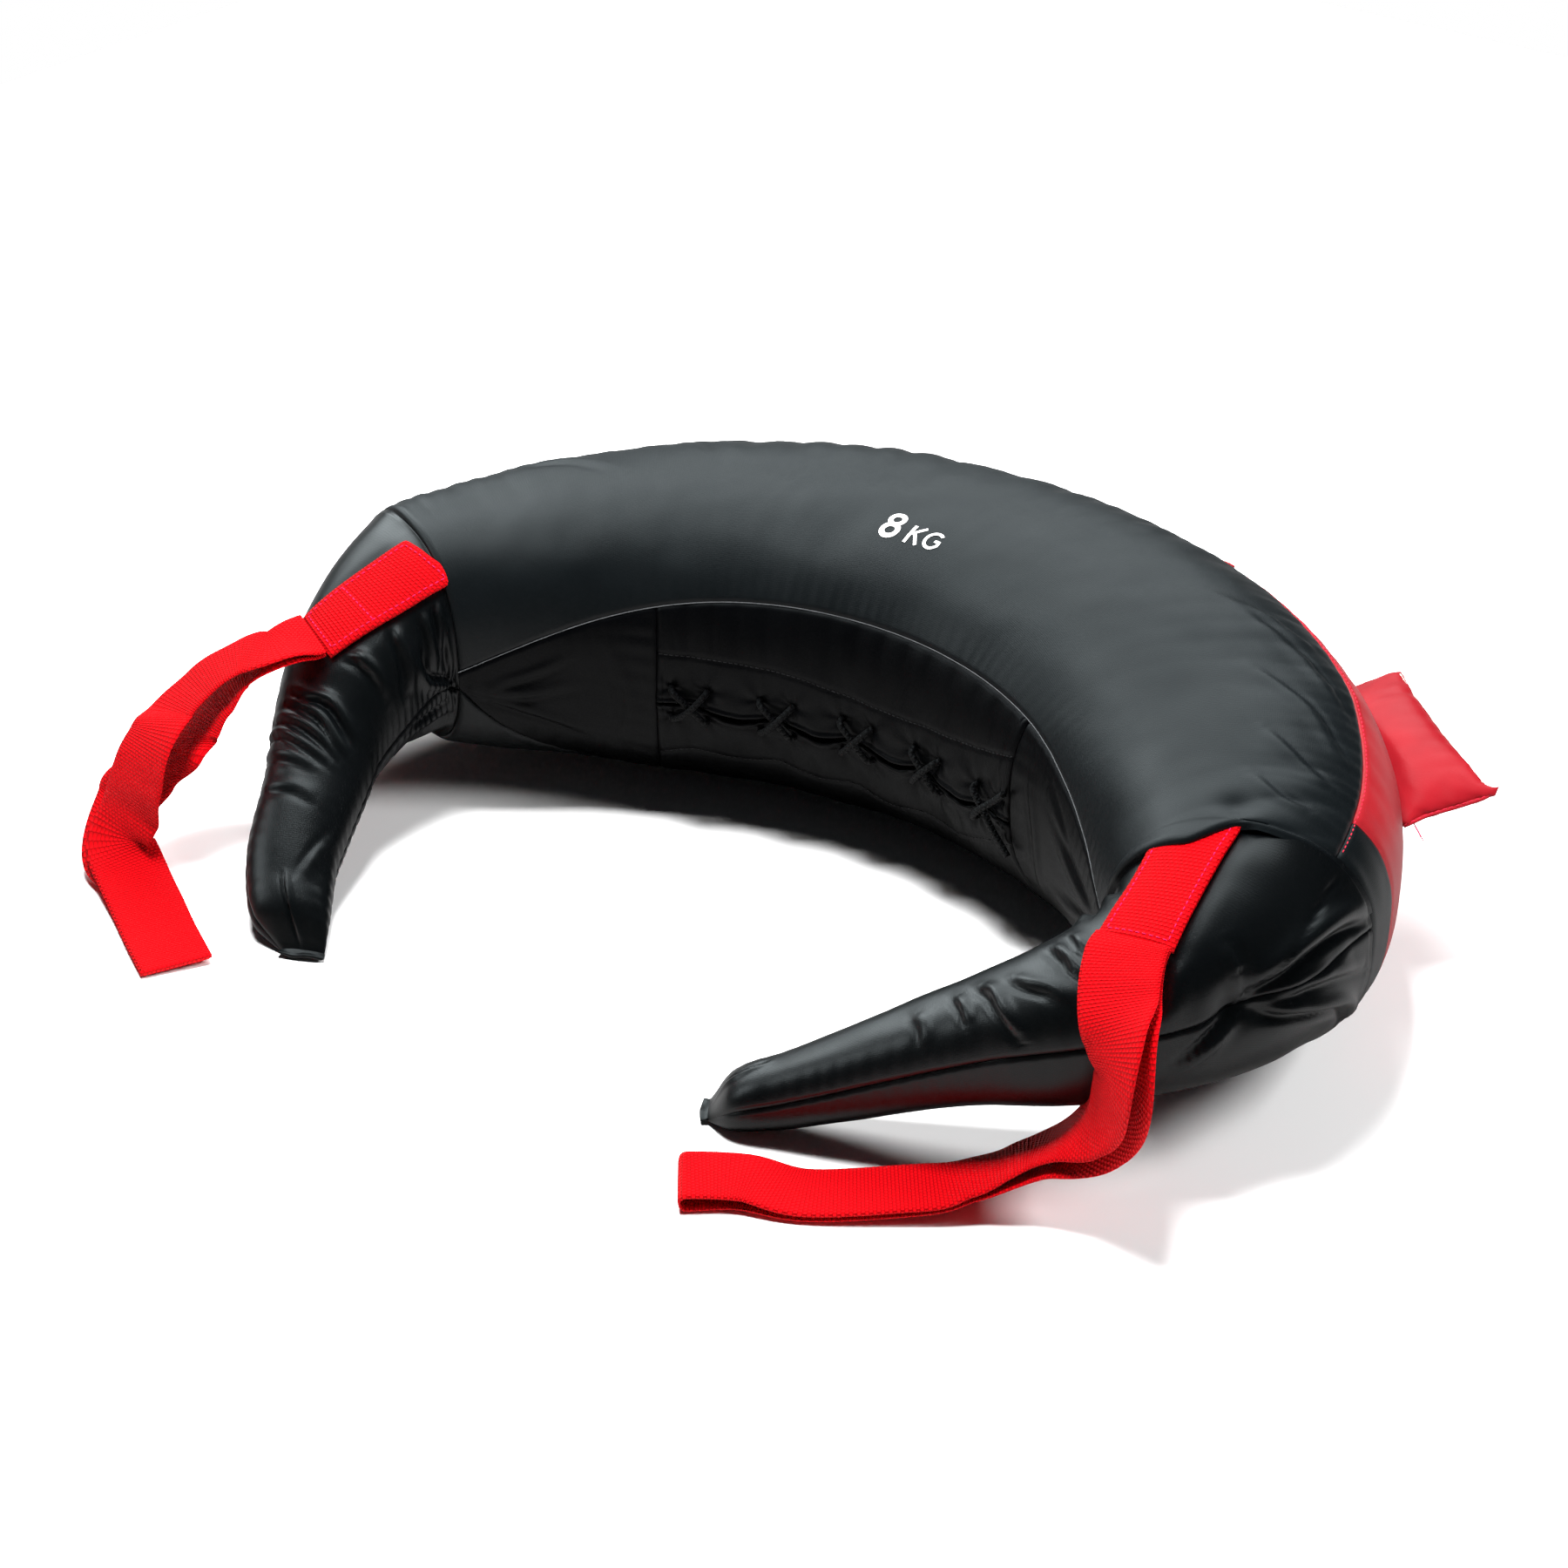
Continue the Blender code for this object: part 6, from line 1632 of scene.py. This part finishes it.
def make_stage():
    """Floor, sky, soft lights and the camera."""
    make_floor()
    make_world()
    for name, place, aim, size, power, shines in lights:
        data = bpy.data.lights.new(name, "AREA")
        data.energy, data.size = power, size
        if shines:
            data.color = SHINE_TINT
        lamp = placed_object(name, data)
        lamp.location = place
        lamp.rotation_euler = (Vector(aim) - Vector(place)).to_track_quat("-Z", "Y").to_euler()
        lamp.visible_glossy, lamp.visible_diffuse = shines, not shines
    data = bpy.data.cameras.new("camera")
    data.lens, data.sensor_width = LENS, SENSOR
    camera = placed_object("camera", data)
    turn, lift = CAMERA_AZIMUTH, CAMERA_LIFT
    back = Vector((math.sin(turn) * math.cos(lift), -math.cos(turn) * math.cos(lift), math.sin(lift)))
    right = Vector((math.cos(turn), math.sin(turn), 0))
    axes = Matrix((right, back.cross(right), back)).transposed().to_4x4()
    camera.matrix_world = Matrix.Translation(CAMERA_TARGET + back * CAMERA_AWAY) @ axes
    bpy.context.scene.camera = camera
    bpy.context.scene.view_settings.view_transform = "Standard"


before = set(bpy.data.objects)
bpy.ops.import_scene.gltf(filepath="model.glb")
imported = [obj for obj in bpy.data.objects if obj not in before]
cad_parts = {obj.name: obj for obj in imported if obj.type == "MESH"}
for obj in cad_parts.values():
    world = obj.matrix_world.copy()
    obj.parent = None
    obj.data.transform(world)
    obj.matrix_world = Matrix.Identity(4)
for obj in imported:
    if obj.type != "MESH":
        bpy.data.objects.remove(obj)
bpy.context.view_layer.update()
finishes = make_finishes()
top = make_top(finishes)
back = make_back(finishes)
make_bottom(finishes)
for side in ("left", "right"):
    make_gusset(side, finishes)
for which in ("upper", "lower"):
    make_placket(which, finishes)
make_seam_highlight_and_stitches(back, finishes)
make_tongue(finishes)
make_wadding(finishes)
make_lace(finishes)
make_mark(top, finishes)
for side in (1, -1):
    horn = Horn(side)
    walk, blend = make_horn(horn, finishes)
    make_loop(horn, *make_patch(horn, walk, finishes), finishes)
for name, phi in (("left", FIN_INWARD - FIN_ARC), ("middle", 0.0), ("right", FIN_ARC - FIN_INWARD)):
    make_fin(name, phi, finishes)
make_sand_bags(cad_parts, finishes)
make_stage()
